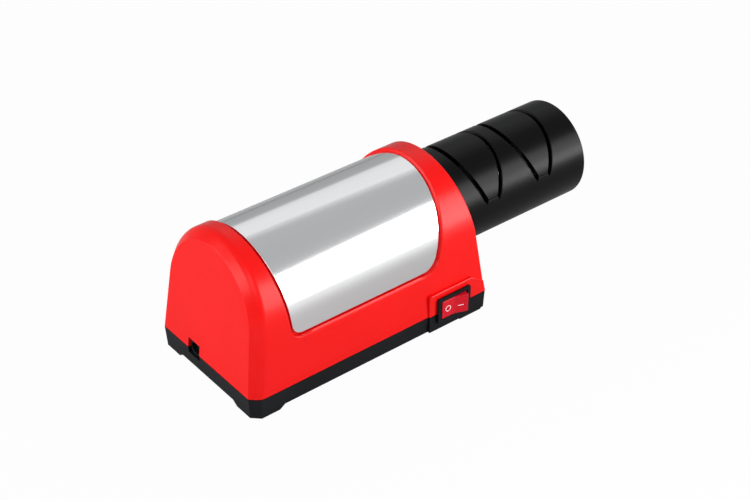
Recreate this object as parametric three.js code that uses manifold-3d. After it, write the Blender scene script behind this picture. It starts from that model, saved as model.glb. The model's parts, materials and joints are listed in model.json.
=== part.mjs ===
import * as THREE from "three";
import { mergeVertices } from "three/addons/utils/BufferGeometryUtils.js";
import Module from "manifold-3d";

const wasm = await Module();
wasm.setup();

// An electric knife sharpener.  Millimetres.  While the parts are made, X runs from the left end face
// to the sharpening head, Y from the switch side (front, negative) to the back, and Z up from the table.

// Body shell: an arched section drawn along X, narrower at the top on every side
const bodyLength = 143.6;
const seamHeight = 12.4;
const archRadius = 37.4;
const archCentreHeight = 43.5;
const sideDraftShare = 0.08;
const leftDraftShare = 0.12;
const rightDraftShare = 0.14;
const bevelLength = 4.6;
const bevelDepth = 4.4;
const rightEdgeRadius = 1;
const shellWall = 2.2;
const postRadius = 4.2;
const postBite = 0.6;
const postLength = 17;
const postHoleDepth = 14;

// Polished cover in its window on the shell
const windowLeft = 25.3;
const windowFromRight = 31.2;
const windowDrop = 6.6;
const windowLeftLeanShare = 0.118;
const windowRightLeanShare = 0.252;
const windowLeftCorner = 6.5;
const windowRightCorner = 9;
const coverInset = 1.6;
const coverThickness = 0.8;

// Base tray
const baseRise = 2.6;
const baseDraftShare = 0.07;
const floorThickness = 2.2;
const lipThickness = 1.2;
const lipHeight = 2.6;
const lipRoot = 2;
const padLength = 15.5;
const padSlope = 3;
const padRise = 0.3;
const ventWidth = 2.4;
const ventLength = 22;
const ventSpacing = 4.6;
const ventCount = 5;
const ventBehindMotor = 10;

// Rubber feet
const footRadius = 5;
const footHeight = 2.2;
const footFromEnd = 8.6;
const footFromSide = 8.2;

// Housing screws, driven from below
const screwRadius = 1.5;
const screwHeadRadius = 3;
const screwHeadHeight = 2;
const screwLength = 18;
const screwSeat = 6.5;
const driverSlotWidth = 0.8;
const leftScrewPlace = 20;
const backScrewFromRight = 21.6;
const frontScrewInset = 0.5;

// Power inlet in the left end
const inletPlace = 10;
const inletRise = 1.2;
const inletWidth = 9.6;
const inletTop = 5.6;
const jackSetback = 5.6;
const jackWidth = 9.2;
const jackLength = 12;
const jackBoreRadius = 3.1;
const jackBoreDepth = 9;
const pinRadius = 1;
const pinTail = 2.4;

// Rocker switch and the raised panel round it
const switchFromRight = 22;
const switchRise = 1.8;
const flangeLength = 21;
const flangeHeight = 15;
const flangeThickness = 1;
const flangeCorner = 0.8;
const switchBodyLength = 19;
const switchBodyHeight = 13;
const switchBodyDepth = 13;
const switchBackWall = 1.5;
const switchEndWall = 0.8;
const switchSideWall = 1;
const panelProud = 0.7;
const panelReach = 15.3;
const panelTopRise = 12.4;
const panelBevel = 1.1;
const panelCutLength = 10;
const panelCutHeight = 5.3;
const rockerSwing = 1;
const rockerDip = 2.9;
const rockerSkirt = 0.8;
const rockerFoot = 3.5;
const rockerDepth = 4;
const rockerProud = 0.3;
const rockerTiltDeg = 10;
const trunnionRadius = 1.2;
const trunnionLength = 0.7;
const terminalWidth = 4.8;
const terminalThickness = 0.8;
const terminalLength = 9.5;
const terminalSpacing = 8;
const terminalEyeRadius = 0.8;
const terminalEyeInset = 1.6;

// Motor
const axisRise = 3.5;
const motorRadius = 21;
const motorToCoupling = 6;
const motorLength = 66;
const canWall = 1.5;
const capThickness = 4;
const motorShaftRadius = 2.5;
const shaftTail = 1.5;
const bushWall = 1.3;
const bushLength = 4.6;
const magnetThickness = 4.6;
const magnetOverlap = 2;
const magnetHalfAngleDeg = 64;
const airGap = 0.8;
const rotorLength = 34;
const rotorPlace = 18;
const poleCount = 5;
const poleWidth = 3.4;
const poleTipThickness = 1.9;
const poleHalfAngleDeg = 27;
const coreHubRadius = 5.5;
const windingOverhang = 4.4;
const commutatorRadius = 4.5;
const commutatorLength = 8;
const commutatorPlace = 5.2;
const commutatorGroove = 0.6;
const brushWidth = 5;
const brushHeight = 6;
const brushLength = 9;
const holderWall = 1.4;
const holderLength = 9;
const holderGap = 1.2;

// Motor seat
const cradleLead = 12;
const cradleLength = 44;
const cradleSide = 9;
const tunnelHalfWidth = 8;
const tunnelHeight = 5;
const strapDrop = 5;
const strapThickness = 1.2;
const strapWidth = 12;
const strapLead = 34;
const strapScrewReach = 5;
const smallScrewLength = 11;
const smallScrewHeadRadius = 2.7;
const smallScrewHeadHeight = 1.8;
const cradleScrewLeads = [22, 46];
const cradleScrewOffset = 20;

// Shaft coupling and spindle
const shaftGrip = 8.5;
const couplingRadius = 8;
const couplingLength = 18;
const couplingToCollar = 0.576;
const couplingScrewFromEnd = 4;
const spindleRadius = 4;
const flatHalfWidth = 3.3;
const flatLead = 8.1;
const spindleTip = 12.3;
const spacerRadius = 7;
const nutRadius = 6.2;
const nutLength = 4.4;
const washerThickness = 1.5;

// Head collar on the right end, with the spindle's bush
const collarReach = 2.4;
const collarPlugRadius = 12;
const collarScrewCircle = 17.5;
const collarScrewCount = 3;
const collarScrewLength = 7.5;
const bushPocketRadius = 8.3;
const bushPocketDepth = 10;
const bushShoulderRadius = 5.5;

// Sharpening head: a slotted tube, with a bridge between the two slots of each stage
const headLength = 80.6;
const headRadius = 26.2;
const headWall = 2.2;
const headEndWall = 2.5;
const headEdgeRadius = 0.9;
const coarseReach = 16.5;
const stageSpacing = 34.6;
const slotWidth = 2.3;
const slotAngleDeg = 22.5;
const slotFloorRise = 6.3;
const slotFloorOffset = 4.2;
const bridgeLegThickness = 1.8;
const bridgeLegHalfWidth = 2.2;
const bridgeLegDrop = 11;

// Grinding discs: a sprung pair for each stage
const discClearance = 1.7;
const discThickness = 1.2;
const discFaceOffset = 3.6;
const springWire = 0.7;
const springPitch = 1.15;
const springTurns = 3;
const springRadius = 6.4;

// Wires
const wireRadius = 0.8;

// Clearances
const fitGap = 0.3;
const slideGap = 0.4;
const overrun = 2;

// Facets
const archSteps = 22;
const cornerSteps = 4;
const headSteps = 44;
const discSteps = 28;
const motorSteps = 28;
const pinSteps = 10;
const magnetSteps = 12;
const nutSides = 6;
const wireSteps = 24;
const wireSides = 8;
const springSides = 5;
const springTurnSteps = 8;
const gapSamples = 64;
const midShare = 0.5;
const mergeShare = 1e-6;

const radians = THREE.MathUtils.degToRad;
const lean = Math.atan(sideDraftShare);
const slotLeanShare = Math.tan(radians(slotAngleDeg));
const mitreShare = Math.tan(Math.PI / 8);
const headEnd = bodyLength + headLength;

// Places and sizes that follow from the values above
const windowRight = bodyLength - windowFromRight;
const windowBottom = archCentreHeight - windowDrop;
const axisHeight = archCentreHeight + axisRise;
const slotFloorHeight = axisHeight + slotFloorRise;
const collarTip = bodyLength + collarReach;
const coarsePlace = bodyLength + coarseReach;
const finePlace = coarsePlace + stageSpacing;
const flatStart = coarsePlace - flatLead;
const spindleEnd = finePlace + spindleTip;
const plugTop = axisHeight + collarPlugRadius;
const collarRoot = bodyLength - rightDraftShare * (plugTop - seamHeight) - shellWall - fitGap;
const couplingPlace = collarRoot - couplingToCollar - couplingLength;
const shaftEnd = couplingPlace + shaftGrip;
const motorRear = couplingPlace - motorToCoupling - motorLength;
const rotorRadius = motorRadius - canWall - fitGap - magnetThickness - airGap;
const magnetLength = rotorLength + 2 * magnetOverlap;
const cradleLeft = motorRear + cradleLead;
const cradleHalfWidth = motorRadius + cradleSide;
const cradleScrewPlaces = cradleScrewLeads.map((lead) => motorRear + lead);
const strapPlace = motorRear + strapLead;
const strapScrewOffset = motorRadius + strapScrewReach;
const ventPlace = motorRear - ventBehindMotor;
const switchPlace = bodyLength - switchFromRight;
const switchMouthLength = switchBodyLength - 2 * switchEndWall;
const switchMouthHeight = switchBodyHeight - 2 * switchSideWall;
const rockerReach = switchMouthLength / 2 - rockerSwing;
const panelLeft = switchPlace - panelReach;
const backScrewPlace = bodyLength - backScrewFromRight;
const frontScrewPlace = panelLeft + frontScrewInset;

const materials = {
  redShell: new THREE.MeshStandardMaterial({ color: 0xf0231f, roughness: 0.38, metalness: 0 }),
  blackPlastic: new THREE.MeshStandardMaterial({ color: 0x1e2024, roughness: 0.5, metalness: 0 }),
  headPlastic: new THREE.MeshStandardMaterial({ color: 0x2b2b2c, roughness: 0.35, metalness: 0 }),
  polishedSteel: new THREE.MeshStandardMaterial({ color: 0xd9dadc, roughness: 0.12, metalness: 1 }),
  steel: new THREE.MeshStandardMaterial({ color: 0xa8aaad, roughness: 0.35, metalness: 1 }),
  laminations: new THREE.MeshStandardMaterial({ color: 0x6d6f73, roughness: 0.5, metalness: 1 }),
  brass: new THREE.MeshStandardMaterial({ color: 0xc9a24a, roughness: 0.3, metalness: 1 }),
  bronze: new THREE.MeshStandardMaterial({ color: 0xa5793f, roughness: 0.4, metalness: 1 }),
  copper: new THREE.MeshStandardMaterial({ color: 0xb4602f, roughness: 0.35, metalness: 1 }),
  magnet: new THREE.MeshStandardMaterial({ color: 0x3a3b3d, roughness: 0.7, metalness: 0 }),
  carbon: new THREE.MeshStandardMaterial({ color: 0x242424, roughness: 0.8, metalness: 0 }),
  rubber: new THREE.MeshStandardMaterial({ color: 0x191919, roughness: 0.9, metalness: 0 }),
  rockerRed: new THREE.MeshStandardMaterial({ color: 0xd01a2c, roughness: 0.2, metalness: 0 }),
  diamond: new THREE.MeshStandardMaterial({ color: 0x77797b, roughness: 0.8, metalness: 0.6 }),
  ceramic: new THREE.MeshStandardMaterial({ color: 0xd8d4cb, roughness: 0.7, metalness: 0 }),
  wireRed: new THREE.MeshStandardMaterial({ color: 0xb3221e, roughness: 0.5, metalness: 0 }),
  wireBlack: new THREE.MeshStandardMaterial({ color: 0x1c1c1c, roughness: 0.5, metalness: 0 }),
};

// Closed geometry to solid, and back
function solidFrom(geometry) {
  geometry.deleteAttribute("normal");
  geometry.deleteAttribute("uv");
  const merged = mergeVertices(geometry, bodyLength * mergeShare);
  return new wasm.Manifold(
    new wasm.Mesh({
      numProp: 3,
      vertProperties: merged.attributes.position.array,
      triVerts: new Uint32Array(merged.index.array),
    }),
  );
}

function geometryFrom(solid) {
  const mesh = solid.getMesh();
  const geometry = new THREE.BufferGeometry();
  geometry.setAttribute("position", new THREE.BufferAttribute(mesh.vertProperties, 3));
  geometry.setIndex(new THREE.BufferAttribute(mesh.triVerts, 1));
  geometry.computeVertexNormals();
  return geometry;
}

// Skin through convex rings of like count, with flat ends
function loft(rings) {
  const count = rings[0].length;
  const faces = [];
  for (let ring = 0; ring + 1 < rings.length; ring += 1) {
    for (let side = 0; side < count; side += 1) {
      const a = ring * count + side;
      const b = ring * count + ((side + 1) % count);
      faces.push(a, b, b + count, a, b + count, a + count);
    }
  }
  const last = (rings.length - 1) * count;
  for (let side = 1; side + 1 < count; side += 1) {
    faces.push(0, side + 1, side, last, last + side, last + side + 1);
  }
  const geometry = new THREE.BufferGeometry();
  geometry.setAttribute("position", new THREE.Float32BufferAttribute(rings.flat(2), 3));
  geometry.setIndex(faces);
  return solidFrom(geometry);
}

function shapeFrom(points, holes = []) {
  const shape = new THREE.Shape(points.map(([a, b]) => new THREE.Vector2(a, b)));
  for (const hole of holes) {
    shape.holes.push(new THREE.Path(hole.map(([a, b]) => new THREE.Vector2(a, b))));
  }
  return shape;
}

function extruded(points, holes, from, to, across, up, along) {
  const geometry = new THREE.ExtrudeGeometry(shapeFrom(points, holes), {
    depth: to - from,
    bevelEnabled: false,
  });
  geometry.translate(0, 0, from);
  geometry.applyMatrix4(new THREE.Matrix4().makeBasis(across, up, along));
  return solidFrom(geometry);
}

const unitX = new THREE.Vector3(1, 0, 0);
const unitY = new THREE.Vector3(0, 1, 0);
const unitZ = new THREE.Vector3(0, 0, 1);
const unitFront = new THREE.Vector3(0, -1, 0);

// Outlines of (y, z) drawn along X, of (x, z) drawn along Y, and of (x, y) drawn along Z
const alongX = (points, left, right, holes = []) =>
  extruded(points, holes, left, right, unitY, unitZ, unitX);
const alongY = (points, front, back, holes = []) =>
  extruded(points, holes, -back, -front, unitX, unitZ, unitFront);
const alongZ = (points, low, high, holes = []) =>
  extruded(points, holes, low, high, unitX, unitY, unitZ);

function circle(radius, steps, centreA = 0, centreB = 0) {
  const points = [];
  for (let step = 0; step < steps; step += 1) {
    const angle = ((step + midShare) / steps) * 2 * Math.PI;
    points.push([centreA + radius * Math.cos(angle), centreB + radius * Math.sin(angle)]);
  }
  return points;
}

const rod = (radius, left, right, steps = motorSteps) => alongX(circle(radius, steps), left, right);
const tube = (outer, inner, left, right, steps = motorSteps) =>
  alongX(circle(outer, steps), left, right, [circle(inner, steps).reverse()]);

function block(left, right, front, back, low, high) {
  const corners = [
    [left, front],
    [right, front],
    [right, back],
    [left, back],
  ];
  return alongZ(corners, low, high);
}

// Outline through corners of (a, b, radius), each rounded by its radius
function rounded(corners, steps = cornerSteps) {
  const points = [];
  corners.forEach(([a, b, radius], index) => {
    if (!radius) {
      points.push([a, b]);
      return;
    }
    const corner = new THREE.Vector2(a, b);
    const [beforeA, beforeB] = corners[(index + corners.length - 1) % corners.length];
    const [afterA, afterB] = corners[(index + 1) % corners.length];
    const back = new THREE.Vector2(beforeA, beforeB).sub(corner).normalize();
    const ahead = new THREE.Vector2(afterA, afterB).sub(corner).normalize();
    const halfAngle = Math.acos(back.dot(ahead)) * midShare;
    const centre = back.clone().add(ahead).normalize();
    centre.multiplyScalar(radius / Math.sin(halfAngle)).add(corner);
    const start = back.clone().multiplyScalar(radius / Math.tan(halfAngle)).add(corner).sub(centre);
    const end = ahead.clone().multiplyScalar(radius / Math.tan(halfAngle)).add(corner).sub(centre);
    const turn = Math.atan2(start.cross(end), start.dot(end));
    for (let step = 0; step <= steps; step += 1) {
      const spot = start.clone().rotateAround(new THREE.Vector2(), (turn * step) / steps);
      points.push([centre.x + spot.x, centre.y + spot.y]);
    }
  });
  return points;
}

// Half width of the shell's side at a height, for an arch of this radius
function sideAt(radius, height) {
  return (radius - (height - archCentreHeight) * Math.sin(lean)) / Math.cos(lean);
}

function sectionOutline(inset, bottom) {
  const radius = archRadius - inset;
  const points = [[sideAt(radius, bottom), bottom]];
  for (let step = 0; step <= archSteps; step += 1) {
    const angle = lean + ((Math.PI - 2 * lean) * step) / archSteps;
    points.push([radius * Math.cos(angle), archCentreHeight + radius * Math.sin(angle)]);
  }
  points.push([-sideAt(radius, bottom), bottom]);
  return points;
}

const leftFaceAt = (height) => leftDraftShare * (height - seamHeight);
const rightFaceAt = (height) => bodyLength - rightDraftShare * (height - seamHeight);

// Body form, drawn in by an inset on every face
function bodyForm(inset, bottom) {
  const leftRing = (along, drawnIn) =>
    sectionOutline(drawnIn, bottom).map(([y, z]) => [along + leftFaceAt(z), y, z]);
  const rightRing = (along, drawnIn) =>
    sectionOutline(drawnIn, bottom).map(([y, z]) => [rightFaceAt(z) - along, y, z]);
  const rings = [
    leftRing(inset, bevelDepth + inset * mitreShare),
    leftRing(bevelLength + inset * mitreShare, inset),
  ];
  const edgeRadius = Math.max(rightEdgeRadius - inset, 0);
  for (let step = 0; step <= cornerSteps; step += 1) {
    const angle = ((Math.PI / 2) * step) / cornerSteps;
    const along = edgeRadius * (1 - Math.sin(angle));
    rings.push(rightRing(inset + along, inset + edgeRadius * (1 - Math.cos(angle))));
    if (!edgeRadius) break;
  }
  return loft(rings);
}

const archTop = archCentreHeight + archRadius;

// Side view of the cover's window, grown outwards on every edge
function windowOutline(grow) {
  const left = windowLeft - grow;
  const right = windowRight + grow;
  const bottom = windowBottom - grow;
  const top = archTop + overrun;
  const rise = top - windowBottom;
  return rounded([
    [left + windowLeftLeanShare * grow, bottom, windowLeftCorner + grow],
    [right - windowRightLeanShare * grow, bottom, windowRightCorner + grow],
    [right + windowRightLeanShare * rise, top, 0],
    [left - windowLeftLeanShare * rise, top, 0],
  ]);
}

const windowForm = (grow) => alongY(windowOutline(grow), -archTop, archTop);
const sectionForm = (inset) => alongX(sectionOutline(inset, seamHeight), 0, bodyLength);

const coverBack = coverInset + coverThickness;
const pocketInset = coverBack + fitGap;

function coverSolid() {
  return sectionForm(coverInset).subtract(sectionForm(coverBack)).intersect(windowForm(-fitGap));
}

// Screws that hold the shell to the base
const lipTop = seamHeight + lipHeight;
const screwY = sideAt(archRadius - shellWall, lipTop) - postRadius + postBite;
const housingScrewPlaces = [
  [leftScrewPlace, -screwY],
  [leftScrewPlace, screwY],
  [backScrewPlace, screwY],
  [frontScrewPlace, -screwY],
];

const upright = (radius, place, low, high, steps = pinSteps) =>
  alongZ(circle(radius, steps, place[0], place[1]), low, high);

const panelFront = -(sideAt(archRadius, seamHeight) + panelProud);
const switchHeight = seamHeight + switchRise;

function switchCutout() {
  const halfLength = switchBodyLength / 2 + fitGap;
  const halfHeight = switchBodyHeight / 2 + fitGap;
  return block(
    switchPlace - halfLength,
    switchPlace + halfLength,
    panelFront - overrun,
    panelFront + switchBodyDepth,
    switchHeight - halfHeight,
    switchHeight + halfHeight,
  );
}

// Upright panel that frames the upper half of the switch, its top right corner cut off aslant
function panelForm() {
  const top = seamHeight + panelTopRise;
  const cutLevel = top - panelCutHeight;
  const rootDepth = sideAt(archRadius - shellWall, top);
  const outline = (draw) =>
    rounded(
      [
        [panelLeft + draw, seamHeight, 0],
        [bodyLength - draw * midShare, seamHeight, 0],
        [rightFaceAt(cutLevel) - draw * midShare, cutLevel - draw * midShare, 0],
        [bodyLength - panelCutLength - draw * midShare, top - draw, 0],
        [panelLeft + draw, top - draw, panelBevel],
      ],
      cornerSteps,
    );
  const ring = (draw, depth) => outline(draw).map(([x, z]) => [x, depth, z]);
  const bevelFront = panelFront + panelBevel * midShare;
  return loft([ring(0, -rootDepth), ring(0, bevelFront), ring(panelBevel, panelFront)]);
}

const inletHeight = seamHeight + inletRise;
const collarScrewAngles = Array.from(
  { length: collarScrewCount },
  (unused, index) => Math.PI / 2 + (index * 2 * Math.PI) / collarScrewCount,
);

function inletCutout(low, high) {
  return block(
    -overrun,
    jackSetback - fitGap,
    inletPlace - inletWidth / 2,
    inletPlace + inletWidth / 2,
    low,
    high,
  );
}

function housingSolid() {
  const cavity = bodyForm(shellWall, seamHeight - overrun);
  let shell = bodyForm(0, seamHeight).add(panelForm()).subtract(cavity);
  const saddle = sectionForm(shellWall / 2)
    .intersect(windowForm(shellWall))
    .subtract(sectionForm(pocketInset + shellWall));
  const pocket = sectionForm(-overrun).subtract(sectionForm(pocketInset)).intersect(windowForm(0));
  shell = shell.add(saddle).subtract(pocket);
  const postLow = lipTop + fitGap;
  for (const place of housingScrewPlaces) {
    shell = shell.add(upright(postRadius, place, postLow, postLow + postLength));
    shell = shell.subtract(
      upright(screwRadius + fitGap, place, postLow - overrun, postLow + postHoleDepth),
    );
  }
  shell = shell.subtract(inletCutout(seamHeight - overrun, seamHeight + inletTop));
  shell = shell.subtract(switchCutout());
  const wallBand = [couplingPlace, bodyLength + overrun];
  const collarHole = circle(collarPlugRadius + fitGap, motorSteps, 0, axisHeight);
  shell = shell.subtract(alongX(collarHole, ...wallBand));
  for (const angle of collarScrewAngles) {
    const y = collarScrewCircle * Math.cos(angle);
    const z = axisHeight + collarScrewCircle * Math.sin(angle);
    shell = shell.subtract(alongX(circle(screwRadius + fitGap, pinSteps, y, z), ...wallBand));
  }
  return shell;
}

// Base outline at a level, drawn in by an inset
function baseOutline(inset, level) {
  const drawnIn = inset + baseDraftShare * (seamHeight - level);
  const side = sideAt(archRadius, seamHeight) - drawnIn;
  const mitre = drawnIn * (1 - mitreShare);
  const right = bodyLength - drawnIn;
  return rounded([
    [drawnIn, side - bevelDepth + mitre, 0],
    [drawnIn, -side + bevelDepth - mitre, 0],
    [bevelLength + drawnIn - mitre, -side, 0],
    [right, -side, rightEdgeRadius],
    [right, side, rightEdgeRadius],
    [bevelLength + drawnIn - mitre, side, 0],
  ]);
}

function baseForm(inset, low, high) {
  const ring = (level) => baseOutline(inset, level).map(([x, y]) => [x, y, level]);
  return loft([ring(low), ring(high)]);
}

const floorTop = baseRise + floorThickness;
const baseTop = seamHeight - fitGap;
const baseWall = shellWall + fitGap + lipThickness;
const halfWidth = sideAt(archRadius, seamHeight);

// A foot pad under one corner, with sloped sides
function padForm(right, back) {
  const corner = (reach) => {
    const inner = right ? bodyLength - reach : reach;
    const outer = right ? bodyLength + overrun : -overrun;
    const near = (back ? 1 : -1) * (halfWidth - reach);
    const far = (back ? 1 : -1) * (halfWidth + overrun);
    return [Math.min(inner, outer), Math.max(inner, outer), Math.min(near, far), Math.max(near, far)];
  };
  const ring = (reach, level) => {
    const [x0, x1, y0, y1] = corner(reach);
    return [
      [x0, y0, level],
      [x1, y0, level],
      [x1, y1, level],
      [x0, y1, level],
    ];
  };
  return loft([
    ring(padLength, padRise - overrun),
    ring(padLength, padRise),
    ring(padLength + padSlope, baseRise),
    ring(padLength + padSlope, baseRise + floorThickness * midShare),
  ]).intersect(baseForm(0, padRise, floorTop));
}

function switchBox() {
  const outline = (level) => {
    const draw = baseDraftShare * (seamHeight - level);
    return rounded([
      [panelLeft + fitGap, panelFront, 0],
      [bodyLength - draw, panelFront, rightEdgeRadius],
      [bodyLength - draw, -halfWidth + baseWall, 0],
      [panelLeft + fitGap, -halfWidth + baseWall, 0],
    ]);
  };
  const ring = (level) => outline(level).map(([x, y]) => [x, y, level]);
  return loft([ring(baseRise), ring(baseTop)]);
}

const footPlaces = [
  [footFromEnd, -(halfWidth - footFromSide)],
  [footFromEnd, halfWidth - footFromSide],
  [bodyLength - footFromEnd, -(halfWidth - footFromSide)],
  [bodyLength - footFromEnd, halfWidth - footFromSide],
];
const cradleScrewSpots = [
  [cradleScrewPlaces[0], cradleScrewOffset],
  [cradleScrewPlaces[1], -cradleScrewOffset],
];

function baseSolid() {
  let base = baseForm(0, baseRise, baseTop).add(switchBox());
  for (const right of [false, true]) {
    for (const back of [false, true]) base = base.add(padForm(right, back));
  }
  base = base.subtract(baseForm(baseWall, floorTop, seamHeight + overrun));
  const lipLow = seamHeight - lipRoot;
  const lipBand = block(-overrun, bodyLength + overrun, -archTop, archTop, lipLow, lipTop);
  const lip = bodyForm(shellWall + fitGap, lipLow).subtract(bodyForm(baseWall, lipLow - overrun));
  base = base.add(lip.intersect(lipBand));
  for (const place of housingScrewPlaces) {
    base = base.add(upright(screwHeadRadius + overrun, place, baseRise, seamHeight - lipRoot));
    base = base.add(upright(postRadius - postBite - fitGap, place, floorTop, lipTop));
    base = base.subtract(upright(screwRadius + fitGap, place, 0, lipTop + overrun));
    base = base.subtract(upright(screwHeadRadius + fitGap, place, 0, screwSeat));
  }
  const seatHalf = jackWidth / 2 + lipThickness;
  base = base.add(
    block(
      jackSetback,
      jackSetback + jackLength,
      inletPlace - seatHalf,
      inletPlace + seatHalf,
      baseRise + floorThickness * midShare,
      inletHeight - jackWidth / 2 - fitGap,
    ),
  );
  base = base.subtract(inletCutout(inletHeight - jackWidth / 2, lipTop + overrun));
  base = base.subtract(switchCutout());
  for (const place of footPlaces) {
    base = base.subtract(upright(footRadius + fitGap, place, 0, footHeight + fitGap, motorSteps));
  }
  for (const place of cradleScrewSpots) {
    base = base.subtract(upright(screwRadius + fitGap, place, 0, seamHeight));
  }
  for (let vent = 0; vent < ventCount; vent += 1) {
    const middle = ventPlace + (vent - (ventCount - 1) / 2) * ventSpacing;
    base = base.subtract(
      block(middle - ventWidth / 2, middle + ventWidth / 2, -ventLength / 2, ventLength / 2, 0, seamHeight),
    );
  }
  return base;
}

// Screw along +Z from its head: origin under the head
function screwSolid(length, rimRadius, rimHeight) {
  const half = driverSlotWidth / 2;
  const shank = alongZ(circle(screwRadius, pinSteps), -rimHeight * midShare, length);
  const slot = block(-rimRadius, rimRadius, -half, half, -rimHeight, -rimHeight * midShare);
  return alongZ(circle(rimRadius, pinSteps), -rimHeight, 0).add(shank).subtract(slot);
}

function jackSolid() {
  const half = jackWidth / 2;
  const body = block(
    jackSetback,
    jackSetback + jackLength,
    inletPlace - half,
    inletPlace + half,
    inletHeight - half,
    inletHeight + half,
  );
  const bore = circle(jackBoreRadius, motorSteps, inletPlace, inletHeight);
  const pinHole = circle(pinRadius + fitGap, pinSteps, inletPlace, inletHeight);
  return body
    .subtract(alongX(bore, 0, jackSetback + jackBoreDepth))
    .subtract(alongX(pinHole, 0, bodyLength));
}

function inletPinSolid() {
  const outline = circle(pinRadius, pinSteps, inletPlace, inletHeight);
  return alongX(outline, jackSetback + pinRadius, jackSetback + jackLength + pinTail);
}

// Switch pieces, about the middle of the panel's front: Y out of the panel is negative
const rockerPivotDepth = flangeThickness + fitGap + rockerProud - rockerDip;

function switchBodySolid() {
  const halfFlange = [flangeLength / 2, flangeHeight / 2];
  const halfBody = [switchBodyLength / 2, switchBodyHeight / 2];
  const halfMouth = [switchMouthLength / 2, switchMouthHeight / 2];
  const rectangle = ([a, b], radius) =>
    rounded([
      [-a, -b, radius],
      [a, -b, radius],
      [a, b, radius],
      [-a, b, radius],
    ]);
  const flange = alongY(rectangle(halfFlange, flangeCorner), -fitGap - flangeThickness, -fitGap);
  const body = alongY(rectangle(halfBody, 0), -fitGap - flangeThickness * midShare, switchBodyDepth);
  const mouth = alongY(
    rectangle(halfMouth, 0),
    -fitGap - flangeThickness - overrun,
    switchBodyDepth - switchBackWall,
  );
  let shell = flange.add(body).subtract(mouth);
  const pivotHole = circle(trunnionRadius + fitGap, pinSteps, 0, -rockerPivotDepth);
  const hole = switchBodyHeight / 2 + overrun;
  shell = shell.subtract(alongZ(pivotHole, -hole, hole));
  for (const side of [-1, 1]) {
    const middle = (side * terminalSpacing) / 2;
    const half = terminalThickness / 2 + fitGap;
    const rise = terminalWidth / 2 + fitGap;
    shell = shell.subtract(
      block(middle - half, middle + half, 0, switchBodyDepth + overrun, -rise, rise),
    );
  }
  return shell;
}

function terminalSolid() {
  const half = terminalThickness / 2;
  const front = switchBodyDepth - switchBackWall - overrun;
  const blade = block(-half, half, front, front + terminalLength, -terminalWidth / 2, terminalWidth / 2);
  const eyeY = front + terminalLength - terminalEyeInset;
  return blade.subtract(
    alongX(circle(terminalEyeRadius, pinSteps, eyeY, 0), -terminalWidth, terminalWidth),
  );
}

// Rocker about its pivot, level: two faces that meet in a shallow valley
function rockerSolid() {
  const rise = rockerDip + rockerReach * Math.tan(radians(rockerTiltDeg));
  const outline = [
    [0, rockerDip],
    [-rockerReach, rise],
    [-rockerReach, -rockerSkirt],
    [-rockerFoot, -rockerDepth],
    [rockerFoot, -rockerDepth],
    [rockerReach, -rockerSkirt],
    [rockerReach, rise],
  ].map(([x, out]) => [x, -out]);
  const halfHeight = switchMouthHeight / 2 - fitGap;
  const pinReach = switchMouthHeight / 2 + trunnionLength;
  return alongZ(outline, -halfHeight, halfHeight).add(
    alongZ(circle(trunnionRadius, pinSteps), -pinReach, pinReach),
  );
}

// Motor pieces, about the drive axis
const motorFront = motorRear + motorLength;
const bushRadius = motorShaftRadius + fitGap + bushWall;
const magnetOuter = motorRadius - canWall - fitGap;
const capRadius = motorRadius - canWall - fitGap;

function canSolid() {
  return rod(motorRadius, motorRear, motorFront)
    .subtract(rod(motorRadius - canWall, motorRear - overrun, motorFront - canWall))
    .subtract(rod(bushRadius + fitGap, motorRear, motorFront + overrun));
}

function capSolid() {
  let cap = rod(capRadius, motorRear, motorRear + capThickness);
  const low = commutatorRadius + holderGap;
  for (const side of [-1, 1]) {
    const reach = [side * low, side * (low + holderLength)].sort((a, b) => a - b);
    const halfHeight = brushHeight / 2 + fitGap + holderWall;
    const right = motorRear + capThickness + brushWidth + 2 * fitGap + holderWall;
    cap = cap.add(block(motorRear + holderWall, right, ...reach, -halfHeight, halfHeight));
    const channel = [side * (low - overrun), side * (low + holderLength + overrun)].sort((a, b) => a - b);
    cap = cap.subtract(
      block(
        motorRear + capThickness,
        right - holderWall,
        ...channel,
        -brushHeight / 2 - fitGap,
        brushHeight / 2 + fitGap,
      ),
    );
  }
  return cap.subtract(rod(bushRadius + fitGap, motorRear - overrun, motorRear + capThickness + overrun));
}

function brushSolid(side) {
  const left = motorRear + capThickness + fitGap;
  const near = side * (commutatorRadius + fitGap);
  const reach = [near, near + side * brushLength].sort((a, b) => a - b);
  return block(left, left + brushWidth, ...reach, -brushHeight / 2, brushHeight / 2);
}

// Arc of a ring between two radii, about an angle
function ringSector(outer, inner, middleAngle, halfAngle, steps) {
  const points = [];
  for (let step = 0; step <= steps; step += 1) {
    const angle = middleAngle - halfAngle + (2 * halfAngle * step) / steps;
    points.push([outer * Math.cos(angle), outer * Math.sin(angle)]);
  }
  for (let step = steps; step >= 0; step -= 1) {
    const angle = middleAngle - halfAngle + (2 * halfAngle * step) / steps;
    points.push([inner * Math.cos(angle), inner * Math.sin(angle)]);
  }
  return points;
}

const rotorLeft = motorRear + rotorPlace;
const rotorRight = rotorLeft + rotorLength;

function magnetSolid(side) {
  const middle = (side * Math.PI) / 2;
  const half = radians(magnetHalfAngleDeg);
  const outline = ringSector(magnetOuter, magnetOuter - magnetThickness, middle, half, magnetSteps);
  const left = rotorLeft + (rotorLength - magnetLength) / 2;
  return alongX(outline, left, left + magnetLength);
}

const poleAngles = Array.from({ length: poleCount }, (unused, index) => (index * 2 * Math.PI) / poleCount);

function spoke(angle, halfSpan, inner, outer, left, right) {
  const corners = [
    [inner, -halfSpan],
    [outer, -halfSpan],
    [outer, halfSpan],
    [inner, halfSpan],
  ];
  const turned = corners.map(([a, b]) => [
    a * Math.cos(angle) - b * Math.sin(angle),
    a * Math.sin(angle) + b * Math.cos(angle),
  ]);
  return alongX(turned, left, right);
}

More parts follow.
